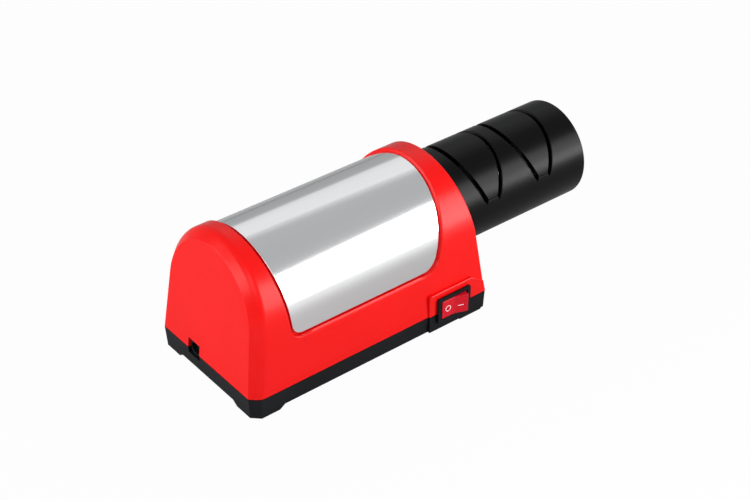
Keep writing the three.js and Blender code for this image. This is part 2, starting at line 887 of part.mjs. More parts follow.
const tipInner = rotorRadius - poleTipThickness;

function rotorCoreSolid() {
  let core = rod(coreHubRadius, rotorLeft, rotorRight);
  for (const angle of poleAngles) {
    core = core.add(spoke(angle, poleWidth / 2, motorShaftRadius, tipInner + fitGap, rotorLeft, rotorRight));
    const tip = ringSector(rotorRadius, tipInner, angle, radians(poleHalfAngleDeg), cornerSteps);
    core = core.add(alongX(tip, rotorLeft, rotorRight));
  }
  return core.subtract(rod(motorShaftRadius + fitGap, rotorLeft - overrun, rotorRight + overrun));
}

function windingSolid() {
  const inner = coreHubRadius + fitGap;
  const outer = tipInner - fitGap;
  let winding = tube(outer, inner, rotorLeft - windingOverhang, rotorRight + windingOverhang);
  for (const angle of poleAngles) {
    const half = poleWidth / 2 + fitGap;
    winding = winding.subtract(
      spoke(angle, half, motorShaftRadius, rotorRadius, rotorLeft - fitGap, rotorRight + fitGap),
    );
  }
  return winding;
}

function commutatorSolid() {
  const left = motorRear + commutatorPlace;
  const right = left + commutatorLength;
  let drum = tube(commutatorRadius, motorShaftRadius + fitGap, left, right);
  for (const angle of poleAngles) {
    const bottom = commutatorRadius - commutatorGroove;
    drum = drum.subtract(
      spoke(angle, commutatorGroove / 2, bottom, commutatorRadius + overrun, left - overrun, right + overrun),
    );
  }
  return drum;
}

const spindleStart = shaftEnd + 2 * fitGap;

function couplingSolid() {
  const right = couplingPlace + couplingLength;
  const screwX = couplingPlace + couplingScrewFromEnd;
  return rod(couplingRadius, couplingPlace, right)
    .subtract(rod(motorShaftRadius + fitGap, couplingPlace - overrun, shaftEnd + fitGap))
    .subtract(rod(spindleRadius + fitGap, shaftEnd + fitGap, right + overrun))
    .subtract(upright(screwRadius + fitGap, [screwX, 0], 0, couplingRadius + overrun));
}

// Spindle: round, with two flats that drive the discs
function flattedOutline(grow) {
  const radius = spindleRadius + grow;
  const half = flatHalfWidth + grow;
  const open = Math.acos(half / radius);
  const points = [];
  for (const middle of [0, Math.PI]) {
    for (let step = 0; step <= cornerSteps; step += 1) {
      const angle = middle - Math.PI / 2 + open + ((Math.PI - 2 * open) * step) / cornerSteps;
      points.push([radius * Math.sin(angle), radius * Math.cos(angle)]);
    }
  }
  return points.reverse();
}

function spindleSolid() {
  const round = rod(spindleRadius, spindleStart, flatStart);
  return round.add(alongX(flattedOutline(0), flatStart - fitGap, spindleEnd));
}

const spacerBore = spindleRadius + fitGap;
const spacer = (left, right, radius = spacerRadius) => tube(radius, spacerBore, left, right);

function nutSolid(left) {
  const bore = circle(spacerBore, pinSteps).reverse();
  return alongX(circle(nutRadius, nutSides), left, left + nutLength, [bore]);
}

const headInner = headRadius - headWall;
const collarRadius = headInner - slideGap;
const discRadius = headInner - fitGap - bridgeLegThickness - discClearance;

// All space to the right of the body's end face, less a gap, about the drive axis
function rightOfBody(gap) {
  const low = -axisHeight;
  const high = archTop;
  const faceAt = (height) => rightFaceAt(height + axisHeight) + gap;
  const outline = [
    [faceAt(low), low],
    [headEnd + overrun, low],
    [headEnd + overrun, high],
    [faceAt(high), high],
  ];
  return alongY(outline, -archTop, archTop);
}

function collarSolid() {
  let collar = rod(collarRadius, 0, collarTip, headSteps)
    .intersect(rightOfBody(fitGap))
    .add(rod(collarPlugRadius, collarRoot, collarTip))
    .subtract(rod(bushPocketRadius, collarTip - bushPocketDepth, collarTip + overrun))
    .subtract(rod(bushShoulderRadius, 0, collarTip));
  for (const angle of collarScrewAngles) {
    const y = collarScrewCircle * Math.cos(angle);
    const z = collarScrewCircle * Math.sin(angle);
    const outline = circle(screwRadius + fitGap, pinSteps, y, z);
    collar = collar.subtract(alongX(outline, 0, collarTip - fitGap));
  }
  return collar;
}

function spindleBushSolid() {
  return tube(bushPocketRadius - fitGap, spacerBore, collarTip - bushPocketDepth + fitGap, collarTip);
}

// Space between the two slots of a stage; with a grow it takes the slots in too
function betweenSlots(place, grow, floor) {
  const low = floor - axisHeight;
  const high = headRadius + overrun;
  const offsetAt = (height) =>
    slotFloorOffset + (height + axisHeight - slotFloorHeight) * slotLeanShare + grow;
  const outline = [
    [place - offsetAt(low), low],
    [place + offsetAt(low), low],
    [place + offsetAt(high), high],
    [place - offsetAt(high), high],
  ];
  return alongY(outline, -headRadius - overrun, headRadius + overrun);
}

const stagePlaces = [coarsePlace, finePlace];
const halfSlot = slotWidth / 2 / Math.cos(radians(slotAngleDeg));

function headSolid() {
  const inner = headEnd - headEndWall;
  const profile = [[0, 0], [headRadius, 0]];
  for (let step = 0; step <= cornerSteps; step += 1) {
    const angle = ((Math.PI / 2) * step) / cornerSteps;
    profile.push([
      headRadius - headEdgeRadius * (1 - Math.cos(angle)),
      headEnd - headEdgeRadius * (1 - Math.sin(angle)),
    ]);
  }
  profile.push([0, headEnd]);
  const lathe = new THREE.LatheGeometry(
    profile.map(([radius, along]) => new THREE.Vector2(radius, along)),
    headSteps,
  );
  lathe.applyMatrix4(new THREE.Matrix4().makeBasis(unitY, unitX, unitZ.clone().negate()));
  let head = solidFrom(lathe)
    .subtract(rod(headInner, -overrun, inner, headSteps))
    .intersect(rightOfBody(fitGap));
  for (const place of stagePlaces) {
    head = head.subtract(betweenSlots(place, halfSlot, slotFloorHeight));
  }
  return head;
}

function bridgeSolid(place) {
  const legOuter = headInner - fitGap;
  const legInner = legOuter - bridgeLegThickness;
  const reach = bridgeLegHalfWidth + headRadius;
  const arch = tube(headRadius, legInner, place - reach, place + reach, headSteps).intersect(
    betweenSlots(place, -halfSlot, slotFloorHeight + fitGap),
  );
  const legs = tube(legOuter, legInner, place - bridgeLegHalfWidth, place + bridgeLegHalfWidth, headSteps);
  const band = block(
    place - reach,
    place + reach,
    -headRadius,
    headRadius,
    slotFloorHeight - bridgeLegDrop - axisHeight,
    slotFloorHeight + bridgeLegThickness - axisHeight,
  );
  return arch.add(legs.intersect(band));
}

function discSolid(left) {
  const bore = flattedOutline(fitGap).reverse();
  return alongX(circle(discRadius, discSteps), left, left + discThickness, [bore]);
}

class SpringPath extends THREE.Curve {
  constructor(place) {
    super();
    this.place = place;
  }

  getPoint(share, target = new THREE.Vector3()) {
    const angle = share * springTurns * 2 * Math.PI;
    const along = (share - midShare) * springTurns * springPitch;
    return target.set(
      this.place + along,
      springRadius * Math.cos(angle),
      springRadius * Math.sin(angle),
    );
  }
}

// Least gap between neighbouring turns, on points along the wire
function springGap(path) {
  const samples = path.getPoints(springTurns * gapSamples);
  let least = Infinity;
  samples.forEach((point, index) => {
    for (let other = index + gapSamples / 2; other < samples.length; other += 1) {
      least = Math.min(least, point.distanceTo(samples[other]) - springWire);
    }
  });
  return least;
}

function springSolid(place) {
  const path = new SpringPath(place);
  console.log(`spring at ${place}: least gap ${springGap(path).toFixed(2)} mm`);
  return solidFrom(
    new THREE.ExtrudeGeometry(shapeFrom(circle(springWire / 2, springSides)), {
      steps: springTurns * springTurnSteps,
      extrudePath: path,
    }),
  );
}

// Motor seat, about the drive axis
const cradleTop = -strapDrop - fitGap;
const cradleFloor = floorTop - axisHeight;
const strapScrewSpots = [
  [strapPlace, -strapScrewOffset],
  [strapPlace, strapScrewOffset],
];

function cradleSolid() {
  const right = cradleLeft + cradleLength;
  let cradle = block(cradleLeft, right, -cradleHalfWidth, cradleHalfWidth, cradleFloor, cradleTop)
    .subtract(rod(motorRadius + fitGap, cradleLeft - overrun, right + overrun))
    .subtract(
      block(
        cradleLeft - overrun,
        right + overrun,
        -tunnelHalfWidth,
        tunnelHalfWidth,
        cradleFloor - overrun,
        cradleFloor + tunnelHeight,
      ),
    );
  for (const place of strapScrewSpots) {
    const hole = upright(screwRadius + fitGap, place, cradleTop - smallScrewLength, cradleTop + overrun);
    cradle = cradle.subtract(hole);
  }
  for (const place of cradleScrewSpots) {
    const top = cradleFloor + smallScrewLength;
    cradle = cradle.subtract(upright(screwRadius + fitGap, place, cradleFloor - overrun, top));
  }
  return cradle;
}

function strapSolid() {
  const left = strapPlace - strapWidth / 2;
  const right = strapPlace + strapWidth / 2;
  const inner = motorRadius + fitGap;
  const above = block(left, right, -archTop, archTop, -strapDrop, archTop);
  let strap = tube(inner + strapThickness, inner, left, right).intersect(above);
  for (const side of [-1, 1]) {
    const reach = [side * inner, side * cradleHalfWidth].sort((a, b) => a - b);
    strap = strap.add(block(left, right, ...reach, -strapDrop, -strapDrop + strapThickness));
  }
  for (const place of strapScrewSpots) {
    strap = strap.subtract(upright(screwRadius + fitGap, place, -axisHeight, axisHeight));
  }
  return strap;
}

// Wires, on routes chosen by hand in the finished part's places
const wireRoutes = {
  supply_wire: [
    [20.4, 10, 13.6],
    [23, 9.8, 13.4],
    [29, 8.4, 10.4],
    [37, 5.6, 7.2],
    [48, 4.5, 6.4],
    [64, 4.5, 6.4],
    [82, 4.5, 6.4],
    [100, 4.5, 6.4],
    [112, 3.6, 7],
    [120, -1.5, 9.4],
    [124.2, -9, 12.6],
    [125.5, -16, 14.1],
    [125.6, -21.4, 14.2],
  ],
  switched_wire: [
    [117.6, -21.4, 14.2],
    [117.4, -17.5, 14.1],
    [114.6, -11, 11.8],
    [108, -6.2, 7.8],
    [99, -4.5, 6.4],
    [80, -4.5, 6.4],
    [60, -4.5, 6.4],
    [49, -5.4, 7],
    [41, -9, 12],
    [37, -12, 24],
    [37.5, -12, 38],
    [40, -11, 45],
    [43.5, -10.5, 47],
  ],
  return_wire: [
    [16.2, 10, 18.6],
    [17, 10, 20],
    [20, 10.5, 24],
    [27, 12, 31],
    [34, 12.5, 39],
    [39, 11.5, 45],
    [43.5, 10.5, 47],
  ],
};

function wireSolid(points) {
  const path = new THREE.CatmullRomCurve3(points.map(([x, y, z]) => new THREE.Vector3(x, y, z)));
  return solidFrom(
    new THREE.ExtrudeGeometry(shapeFrom(circle(wireRadius, wireSides)), {
      steps: wireSteps,
      extrudePath: path,
    }),
  );
}

// Assembly
const sharpener = new THREE.Group();
const enclosure = new THREE.Group();
const driveLine = new THREE.Group();
const switchUnit = new THREE.Group();
driveLine.position.z = axisHeight;
switchUnit.position.set(switchPlace, panelFront, switchHeight);
sharpener.add(enclosure, driveLine, switchUnit);

function addPiece(group, name, solid, material) {
  const piece = new THREE.Mesh(geometryFrom(solid), material);
  piece.name = name;
  group.add(piece);
  return piece;
}

addPiece(enclosure, "housing", housingSolid(), materials.redShell);
addPiece(enclosure, "steel_cover", coverSolid(), materials.polishedSteel);
addPiece(enclosure, "base", baseSolid(), materials.blackPlastic);

footPlaces.forEach(([x, y], index) => {
  const solid = alongZ(circle(footRadius, motorSteps), 0, footHeight);
  addPiece(enclosure, `rubber_foot_${index + 1}`, solid, materials.rubber).position.set(x, y, 0);
});

const housingScrew = screwSolid(screwLength, screwHeadRadius, screwHeadHeight);
housingScrewPlaces.forEach(([x, y], index) => {
  const screw = addPiece(enclosure, `housing_screw_${index + 1}`, housingScrew, materials.steel);
  screw.position.set(x, y, screwSeat - fitGap);
});

const smallScrew = screwSolid(smallScrewLength - fitGap, smallScrewHeadRadius, smallScrewHeadHeight);
cradleScrewSpots.forEach(([x, y], index) => {
  const screw = addPiece(enclosure, `cradle_screw_${index + 1}`, smallScrew, materials.steel);
  screw.position.set(x, y, baseRise - fitGap);
});

addPiece(enclosure, "inlet_jack", jackSolid(), materials.blackPlastic);
addPiece(enclosure, "inlet_pin", inletPinSolid(), materials.brass);
for (const [name, points] of Object.entries(wireRoutes)) {
  const material = name === "return_wire" ? materials.wireBlack : materials.wireRed;
  addPiece(enclosure, name, wireSolid(points), material);
}

addPiece(switchUnit, "switch_body", switchBodySolid(), materials.blackPlastic);
[-1, 1].forEach((side, index) => {
  const terminal = addPiece(switchUnit, `switch_terminal_${index + 1}`, terminalSolid(), materials.brass);
  terminal.position.x = (side * terminalSpacing) / 2;
});
const rocker = addPiece(switchUnit, "switch_rocker", rockerSolid(), materials.rockerRed);
rocker.position.y = -rockerPivotDepth;
rocker.rotation.z = -radians(rockerTiltDeg);

addPiece(driveLine, "motor_can", canSolid(), materials.steel);
addPiece(driveLine, "motor_end_cap", capSolid(), materials.blackPlastic);
[-1, 1].forEach((side, index) => {
  addPiece(driveLine, `motor_magnet_${index + 1}`, magnetSolid(side), materials.magnet);
  addPiece(driveLine, `motor_brush_${index + 1}`, brushSolid(side), materials.carbon);
});
const motorBush = tube(bushRadius, motorShaftRadius + fitGap, 0, bushLength, pinSteps);
const rearBush = addPiece(driveLine, "motor_rear_bush", motorBush, materials.bronze);
rearBush.position.x = motorRear - fitGap;
const frontBush = addPiece(driveLine, "motor_front_bush", motorBush, materials.bronze);
frontBush.position.x = motorFront - bushLength * midShare;
addPiece(driveLine, "motor_cradle", cradleSolid(), materials.blackPlastic);
addPiece(driveLine, "motor_strap", strapSolid(), materials.steel);
strapScrewSpots.forEach(([x, y], index) => {
  const screw = addPiece(driveLine, `strap_screw_${index + 1}`, smallScrew, materials.steel);
  screw.rotation.x = Math.PI;
  screw.position.set(x, y, -strapDrop + strapThickness + fitGap);
});
addPiece(driveLine, "head_collar", collarSolid(), materials.headPlastic);
const collarScrew = screwSolid(collarScrewLength, smallScrewHeadRadius, smallScrewHeadHeight);
collarScrewAngles.forEach((angle, index) => {
  const y = collarScrewCircle * Math.cos(angle);
  const z = collarScrewCircle * Math.sin(angle);
  const screw = addPiece(driveLine, `collar_screw_${index + 1}`, collarScrew, materials.steel);
  screw.rotation.y = Math.PI / 2;
  const innerFace = rightFaceAt(axisHeight + z + smallScrewHeadRadius) - shellWall;
  screw.position.set(innerFace - fitGap, y, z);
});
addPiece(driveLine, "spindle_bush", spindleBushSolid(), materials.bronze);

const shaftLeft = motorRear - shaftTail;
addPiece(driveLine, "motor_shaft", rod(motorShaftRadius, shaftLeft, shaftEnd), materials.steel);
addPiece(driveLine, "rotor_core", rotorCoreSolid(), materials.laminations);
addPiece(driveLine, "rotor_winding", windingSolid(), materials.copper);
addPiece(driveLine, "commutator", commutatorSolid(), materials.copper);
addPiece(driveLine, "shaft_coupling", couplingSolid(), materials.brass);
const setScrewLow = motorShaftRadius + fitGap;
const setScrewSpot = [couplingPlace + couplingScrewFromEnd, 0];
const setScrew = upright(screwRadius, setScrewSpot, setScrewLow, couplingRadius - fitGap);
addPiece(driveLine, "coupling_screw", setScrew, materials.steel);
addPiece(driveLine, "spindle", spindleSolid(), materials.steel);

const discOuter = discFaceOffset + fitGap;
const innerSpacer = spacer(collarTip + fitGap, coarsePlace - discOuter);
const middleSpacer = spacer(coarsePlace + discOuter, finePlace - discOuter);
const washerLeft = finePlace + discOuter;
addPiece(driveLine, "inner_spacer", innerSpacer, materials.steel);
addPiece(driveLine, "middle_spacer", middleSpacer, materials.steel);
const washer = spacer(washerLeft, washerLeft + washerThickness);
addPiece(driveLine, "end_washer", washer, materials.steel);
const nut = nutSolid(washerLeft + washerThickness + fitGap);
addPiece(driveLine, "end_nut", nut, materials.steel);

for (const [stage, place, material] of [
  ["coarse", coarsePlace, materials.diamond],
  ["fine", finePlace, materials.ceramic],
]) {
  addPiece(driveLine, `${stage}_disc_left`, discSolid(place - discFaceOffset), material);
  addPiece(driveLine, `${stage}_disc_right`, discSolid(place + discFaceOffset - discThickness), material);
  addPiece(driveLine, `${stage}_spring`, springSolid(place), materials.steel);
  addPiece(driveLine, `${stage}_bridge`, bridgeSolid(place), materials.headPlastic);
}
addPiece(driveLine, "head_cover", headSolid(), materials.headPlastic);

// The finished part stands on the middle of its own outline
const outlineBox = new THREE.Box3().setFromObject(sharpener);
const middle = outlineBox.getCenter(new THREE.Vector3());
sharpener.position.set(-middle.x, -middle.y, -outlineBox.min.z);

export default sharpener;
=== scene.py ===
import json
import math

import bmesh
import bpy
from mathutils import Euler, Matrix, Vector


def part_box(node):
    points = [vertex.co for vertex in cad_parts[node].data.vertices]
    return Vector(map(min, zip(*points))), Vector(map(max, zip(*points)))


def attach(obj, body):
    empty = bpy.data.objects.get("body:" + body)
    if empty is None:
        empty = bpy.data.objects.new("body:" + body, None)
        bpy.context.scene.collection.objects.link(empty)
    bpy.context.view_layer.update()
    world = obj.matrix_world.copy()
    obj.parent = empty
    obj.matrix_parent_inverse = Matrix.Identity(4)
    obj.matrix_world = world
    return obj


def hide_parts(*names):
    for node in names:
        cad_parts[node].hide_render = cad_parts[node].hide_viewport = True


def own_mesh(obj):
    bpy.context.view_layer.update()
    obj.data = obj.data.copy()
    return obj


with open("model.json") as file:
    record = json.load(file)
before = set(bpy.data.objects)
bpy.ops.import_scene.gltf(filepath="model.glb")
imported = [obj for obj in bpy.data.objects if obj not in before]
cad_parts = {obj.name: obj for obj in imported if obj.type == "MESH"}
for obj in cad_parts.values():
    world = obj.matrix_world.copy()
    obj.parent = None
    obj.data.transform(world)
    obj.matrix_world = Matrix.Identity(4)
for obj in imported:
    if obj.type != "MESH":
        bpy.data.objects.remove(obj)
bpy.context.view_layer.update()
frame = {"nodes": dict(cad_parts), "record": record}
print("frame loaded:", len(frame["nodes"]), "nodes")

# Pieces are in millimetres, X from the body's left end, Y from its middle plane, Z from the table
mm = 0.001
shellLow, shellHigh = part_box("housing")
coverLow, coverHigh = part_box("steel_cover")
originX = shellLow.x
originY = (coverLow.y + coverHigh.y) / 2

overrun = 2.0  # how far a cutter passes the surface that it cuts
wellPast = 9.0  # further out than anything nearby


def spot(x, y, z):
    return Vector((originX + x * mm, originY + y * mm, z * mm))


def onAxis(x, y, z):
    return spot(x, y, z + axisHeight)


def fromOrigin(x, y, z):
    return Vector((x, y, z)) * mm


def middleOf(low, high):
    x = ((low.x + high.x) / 2 - originX) / mm
    y = ((low.y + high.y) / 2 - originY) / mm
    return x, y, (low.z + high.z) / 2 / mm


def numbered(stem, count):
    return [stem + str(i + 1) for i in range(count)]


# Colours and materials

def linear(hexColour):
    channels = [int(hexColour[i:i + 2], 16) / 255 for i in (0, 2, 4)]
    return [c / 12.92 if c <= 0.04045 else ((c + 0.055) / 1.055) ** 2.4 for c in channels] + [1.0]


def addNode(tree, kind, values=None, links=None, **settings):
    # A node given as a link stands for its first output
    node = tree.nodes.new(kind)
    for name, value in settings.items():
        setattr(node, name, value)
    for socket, value in (values or {}).items():
        node.inputs[socket].default_value = value
    for socket, source in (links or {}).items():
        tree.links.new(getattr(source, "outputs", [source])[0], node.inputs[socket])
    return node


def emptyTree(owner):
    owner.use_nodes = True
    owner.node_tree.nodes.clear()
    return owner.node_tree


def startMaterial(name, shader):
    material = bpy.data.materials.new(name)
    tree = emptyTree(material)
    surface = addNode(tree, "ShaderNodeBsdfPrincipled", shader)
    addNode(tree, "ShaderNodeOutputMaterial", links={"Surface": surface})
    place = addNode(tree, "ShaderNodeTexCoord").outputs["Object"]
    return material, tree, surface, place


def colourRamp(tree, source, tones, stops=(0.0, 1.0)):
    ramp = addNode(tree, "ShaderNodeValToRGB", links={"Fac": source})
    for element, tone, stop in zip(ramp.color_ramp.elements, tones, stops):
        element.position = stop
        element.color = linear(tone)
    return ramp.outputs[0]


def noise(tree, place, size, detail):
    values = {"Scale": 1 / (size * mm), "Detail": detail}
    return addNode(tree, "ShaderNodeTexNoise", values, {"Vector": place}).outputs[0]


def coat(tree, surface, look, colour, sheen, relief, stops=(0.3, 0.7)):
    # Colour, gloss and bumps of a surface, each led by a pattern
    tones = colourRamp(tree, colour, (look["dark"], look["light"]), stops)
    tree.links.new(tones, surface.inputs["Base Color"])
    if sheen:
        least, most = look["rough"]
        spread = addNode(tree, "ShaderNodeMapRange", {"To Min": least, "To Max": most}, {"Value": sheen})
        tree.links.new(spread.outputs[0], surface.inputs["Roughness"])
    if relief:
        values = {"Strength": look["bump"], "Distance": look["depth"] * mm}
        bump = addNode(tree, "ShaderNodeBump", values, {"Height": relief})
        tree.links.new(bump.outputs[0], surface.inputs["Normal"])


def moulded(name, look):
    # Moulded plastic and what is as even: a faint cloud in its colour, and the fine pebble of its tool
    material, tree, surface, place = startMaterial(name, look["shader"])
    cloud = noise(tree, place, look["cloud"], detail=3.0)
    coat(tree, surface, look, cloud, cloud, noise(tree, place, look["grain"], detail=2.0))
    return material


def worked(name, look):
    # Metal: tone that wanders a little, with the marks of its working drawn out along one direction
    material, tree, surface, place = startMaterial(name, {"Metallic": 1.0})
    scale = [1 / (size * mm) for size in look["marks"]]
    drawn = addNode(tree, "ShaderNodeMapping", {"Scale": scale}, {"Vector": place})
    marks = addNode(tree, "ShaderNodeTexNoise", {"Scale": 1.0, "Detail": 4.0}, {"Vector": drawn}).outputs[0]
    coat(tree, surface, look, marks, marks, marks)
    return material


def gritted(name, look):
    # Abrasive coat: grains of a few tenths, some of them catching the light
    material, tree, surface, place = startMaterial(name, {"Metallic": look["metallic"]})
    scale = {"Scale": 1 / (look["grit"] * mm)}
    grains = addNode(tree, "ShaderNodeTexVoronoi", scale, {"Vector": place})
    apart = grains.outputs["Distance"]
    coat(tree, surface, look, grains.outputs["Color"], apart, apart, stops=(0.0, 1.0))
    return material


def woundWithPaintedGrooveShade(name, look):
    # Enamelled copper wire: close turns side by side, lacquered to a warm gloss; its colour is painted darker
    # in the grooves between turns and lighter on their tops, painted shade and painted highlight
    material, tree, surface, place = startMaterial(name, {"Metallic": 1.0, "Roughness": look["gloss"]})
    values = {"Scale": look["share"] / (look["wire"] * mm), "Distortion": 0.6}
    turns = addNode(tree, "ShaderNodeTexWave", values, {"Vector": place}, bands_direction=look["across"])
    coat(tree, surface, look, turns.outputs[0], None, turns.outputs[0], stops=(0.0, 1.0))
    return material


def speckledAcrylic(name, look):
    # Red acrylic: deep colour with fine moulded-in specks under a glossy face
    material, tree, surface, place = startMaterial(name, look["shader"])
    specks = noise(tree, place, look["speck"], detail=1.0)
    coat(tree, surface, look, specks, specks, None, stops=(0.35, 0.72))
    return material


materials = {
    # Satin ABS: saturated red with a soft, fairly tight highlight
    "red_shell": moulded("satinRedAbs", {
        "dark": "DD0705", "light": "E20806", "cloud": 40, "rough": (0.26, 0.31), "grain": 0.5,
        "bump": 0.05, "depth": 0.02, "shader": {"IOR": 1.5, "Specular IOR Level": 0.25},
    }),
    # Textured ABS: near black with a cool cast, highlight spread wide by the tool's texture
    "black_plastic": moulded("texturedBlackAbs", {
        "dark": "090B0E", "light": "0F1215", "cloud": 25, "rough": (0.42, 0.52), "grain": 0.6,
        "bump": 0.12, "depth": 0.04, "shader": {"IOR": 1.5, "Specular IOR Level": 0.16},
    }),
    # Semi-gloss nylon: neutral black whose long soft highlights shape the tube
    "head_plastic": moulded("semiGlossBlackNylon", {
        "dark": "030303", "light": "050505", "cloud": 30, "rough": (0.29, 0.33), "grain": 0.5,
        "bump": 0.05, "depth": 0.02, "shader": {"IOR": 1.5, "Specular IOR Level": 0.13},
    }),
    # Polished stainless sheet: near mirror, drawn faintly along its length
    "polished_steel": worked("polishedStainless", {
        "dark": "F1F1F2", "light": "F5F5F5", "marks": (150, 16, 16), "rough": (0.14, 0.16),
        "bump": 0.01, "depth": 0.01,
    }),
    # Zinc plated steel: cool grey with a soft turned lustre
    "steel": worked("zincPlatedSteel", {
        "dark": "A9ABAE", "light": "C4C6C9", "marks": (0.5, 4, 4), "rough": (0.26, 0.36),
        "bump": 0.1, "depth": 0.01,
    }),
    # Electrical steel: thin sheets stacked along the shaft, seen as fine dark lines
    "laminations": worked("stackedElectricalSteel", {
        "dark": "55575B", "light": "808388", "marks": (0.5, 60, 60), "rough": (0.4, 0.55),
        "bump": 0.4, "depth": 0.05,
    }),
    # Turned brass: warm yellow with rings from the tool
    "brass": worked("turnedBrass", {
        "dark": "BE9A4B", "light": "D9B866", "marks": (0.3, 6, 6), "rough": (0.2, 0.3),
        "bump": 0.12, "depth": 0.01,
    }),
    # Sintered bronze: dull brown-gold with fine open pores
    "bronze": worked("sinteredBronze", {
        "dark": "8A6A3C", "light": "AD8650", "marks": (0.35, 0.35, 0.35), "rough": (0.4, 0.55),
        "bump": 0.3, "depth": 0.03,
    }),
    # Copper wire: warm brown-orange ridges, glossy along their tops, painted darker in the grooves and
    # lighter on the tops as painted shade and painted highlight
    "copper": woundWithPaintedGrooveShade("enamelledCopperWire", {
        "dark": "7C3C1C", "light": "C7703C", "wire": 0.5, "share": 0.3, "across": "Z", "gloss": 0.28,
        "bump": 0.6, "depth": 0.1,
    }),
    # Ferrite: dark grey ceramic, matt and slightly mottled
    "magnet": moulded("groundFerrite", {
        "dark": "333437", "light": "414245", "cloud": 3, "rough": (0.6, 0.75), "grain": 0.3,
        "bump": 0.2, "depth": 0.03, "shader": {"IOR": 1.6},
    }),
    # Pressed carbon: soft black with a dusty bloom
    "carbon": moulded("pressedCarbon", {
        "dark": "1D1D1E", "light": "29292A", "cloud": 1.5, "rough": (0.7, 0.85), "grain": 0.2,
        "bump": 0.2, "depth": 0.02, "shader": {"IOR": 1.5},
    }),
    # Rubber: flat black that hardly shines, with a dry grain
    "rubber": moulded("mouldedRubber", {
        "dark": "121212", "light": "1A1A1A", "cloud": 6, "rough": (0.75, 0.88), "grain": 0.4,
        "bump": 0.25, "depth": 0.03, "shader": {"IOR": 1.5, "Specular IOR Level": 0.4},
    }),
    # Switch's acrylic: deeper and glossier than the shell round it
    "rocker_red": speckledAcrylic("clearRedAcrylic", {
        "dark": "B8061A", "light": "D20D25", "speck": 0.45, "rough": (0.22, 0.3),
        "shader": {"IOR": 1.49, "Specular IOR Level": 0.3},
    }),
    # Diamond grit bonded to steel: coarse dark glitter
    "diamond_steel": gritted("bondedDiamondGrit", {
        "dark": "505256", "light": "A5A7AA", "grit": 0.35, "metallic": 0.7, "rough": (0.3, 0.65),
        "bump": 0.7, "depth": 0.12,
    }),
    # Fine ceramic coat: off-white, chalky
    "ceramic": gritted("fineCeramicCoat", {
        "dark": "C8C4BA", "light": "E2DED4", "grit": 0.22, "metallic": 0.0, "rough": (0.6, 0.8),
        "bump": 0.35, "depth": 0.06,
    }),
    # Pad-printed ink: flat warm white with ragged gloss
    "white_ink": moulded("padPrintedInk", {
        "dark": "E4DEDF", "light": "F4EEEF", "cloud": 0.8, "rough": (0.35, 0.5), "grain": 0.15,
        "bump": 0.1, "depth": 0.01, "shader": {"IOR": 1.5},
    }),
}
# Vinyl sleeves: dense colour, soft waxy shine
for slot, name, dark, light in (
    ("wire_red", "redVinylSleeve", "A81E1B", "BC2823"),
    ("wire_black", "blackVinylSleeve", "171717", "1F1F1F"),
):
    materials[slot] = moulded(name, {
        "dark": dark, "light": light, "cloud": 5, "rough": (0.35, 0.45), "grain": 0.4,
        "bump": 0.1, "depth": 0.02, "shader": {"IOR": 1.52},
    })
print("materials made:", len(materials))


# Mesh helpers

meshing = {"merge": 0.0005, "frameMerge": 0.002, "flatAngle": 1, "frameEdge": 0.3, "roundSteps": 4}


def addObject(name, data):
    thing = bpy.data.objects.new(name, data)
    bpy.context.scene.collection.objects.link(thing)
    return thing


def meshObject(name, points, faces):
    mesh = bpy.data.meshes.new(name)
    mesh.from_pydata([tuple(point) for point in points], [], faces)
    form = bmesh.new()
    form.from_mesh(mesh)
    bmesh.ops.remove_doubles(form, verts=form.verts, dist=meshing["merge"] * mm)
    bmesh.ops.recalc_face_normals(form, faces=form.faces)
    form.to_mesh(mesh)
    form.free()
    return addObject(name, mesh)


def skin(name, rings, closed=False):
    # Rings of like count joined one to the next: round in a loop, or with a flat face at each end
    count = len(rings[0])
    last = (len(rings) - 1) * count
    faces = []
    for ring in range(len(rings) if closed else len(rings) - 1):
        near, far = ring * count, (ring + 1) % len(rings) * count
        for side in range(count):
            after = (side + 1) % count
            faces.append((near + side, near + after, far + after, far + side))
    if not closed:
        faces.append(tuple(reversed(range(count))))
        faces.append(tuple(range(last, last + count)))
    return meshObject(name, [point for ring in rings for point in ring], faces)


def rounded(corners, steps=8):
    # Outline through (a, b, radius), each corner turned by its own radius
    points = []
    for index, (a, b, radius) in enumerate(corners):
        if not radius:
            points.append((a, b))
            continue
        corner = Vector((a, b))
        back = (Vector(corners[index - 1][:2]) - corner).normalized()
        ahead = (Vector(corners[(index + 1) % len(corners)][:2]) - corner).normalized()
        half = back.angle(ahead) / 2
        centre = corner + (back + ahead).normalized() * radius / math.sin(half)
        start = corner + back * radius / math.tan(half) - centre
        end = corner + ahead * radius / math.tan(half) - centre
        first = math.atan2(start.y, start.x)
        turn = (math.atan2(end.y, end.x) - first + math.pi) % (2 * math.pi) - math.pi
        for step in range(steps + 1):
            angle = first + turn * step / steps
            points.append((centre.x + radius * math.cos(angle), centre.y + radius * math.sin(angle)))
    return points


def ringProfile(left, right, inner, outer, rounds=(0, 0, 0, 0), steps=4):
    # Section of a ring, or of a bar where inner is 0, from its inner left corner to its inner right one
    corners = ((left, inner), (left, outer), (right, outer), (right, inner))
    return rounded([(x, r, radius) for (x, r), radius in zip(corners, rounds)], steps)


def prism(name, outline, low, high, axis):
    # Outline of (y, z), (x, z) or (x, y) drawn along X, Y or Z
    place = {
        "X": lambda a, b, along: spot(along, a, b),
        "Y": lambda a, b, along: spot(a, along, b),
        "Z": lambda a, b, along: spot(a, b, along),
    }[axis]
    return skin(name, [[place(a, b, along) for a, b in outline] for along in (low, high)])


def span(middle, length):
    return middle - length / 2, middle + length / 2


def block(name, x, y, z):
    return prism(name, [(x[0], y[0]), (x[1], y[0]), (x[1], y[1]), (x[0], y[1])], z[0], z[1], "Z")


def circle(radius, steps=64, centre=(0, 0), start=0.0):
    turn = 2 * math.pi / steps
    angles = [start + i * turn for i in range(steps)]
    return [(centre[0] + radius * math.cos(a), centre[1] + radius * math.sin(a)) for a in angles]


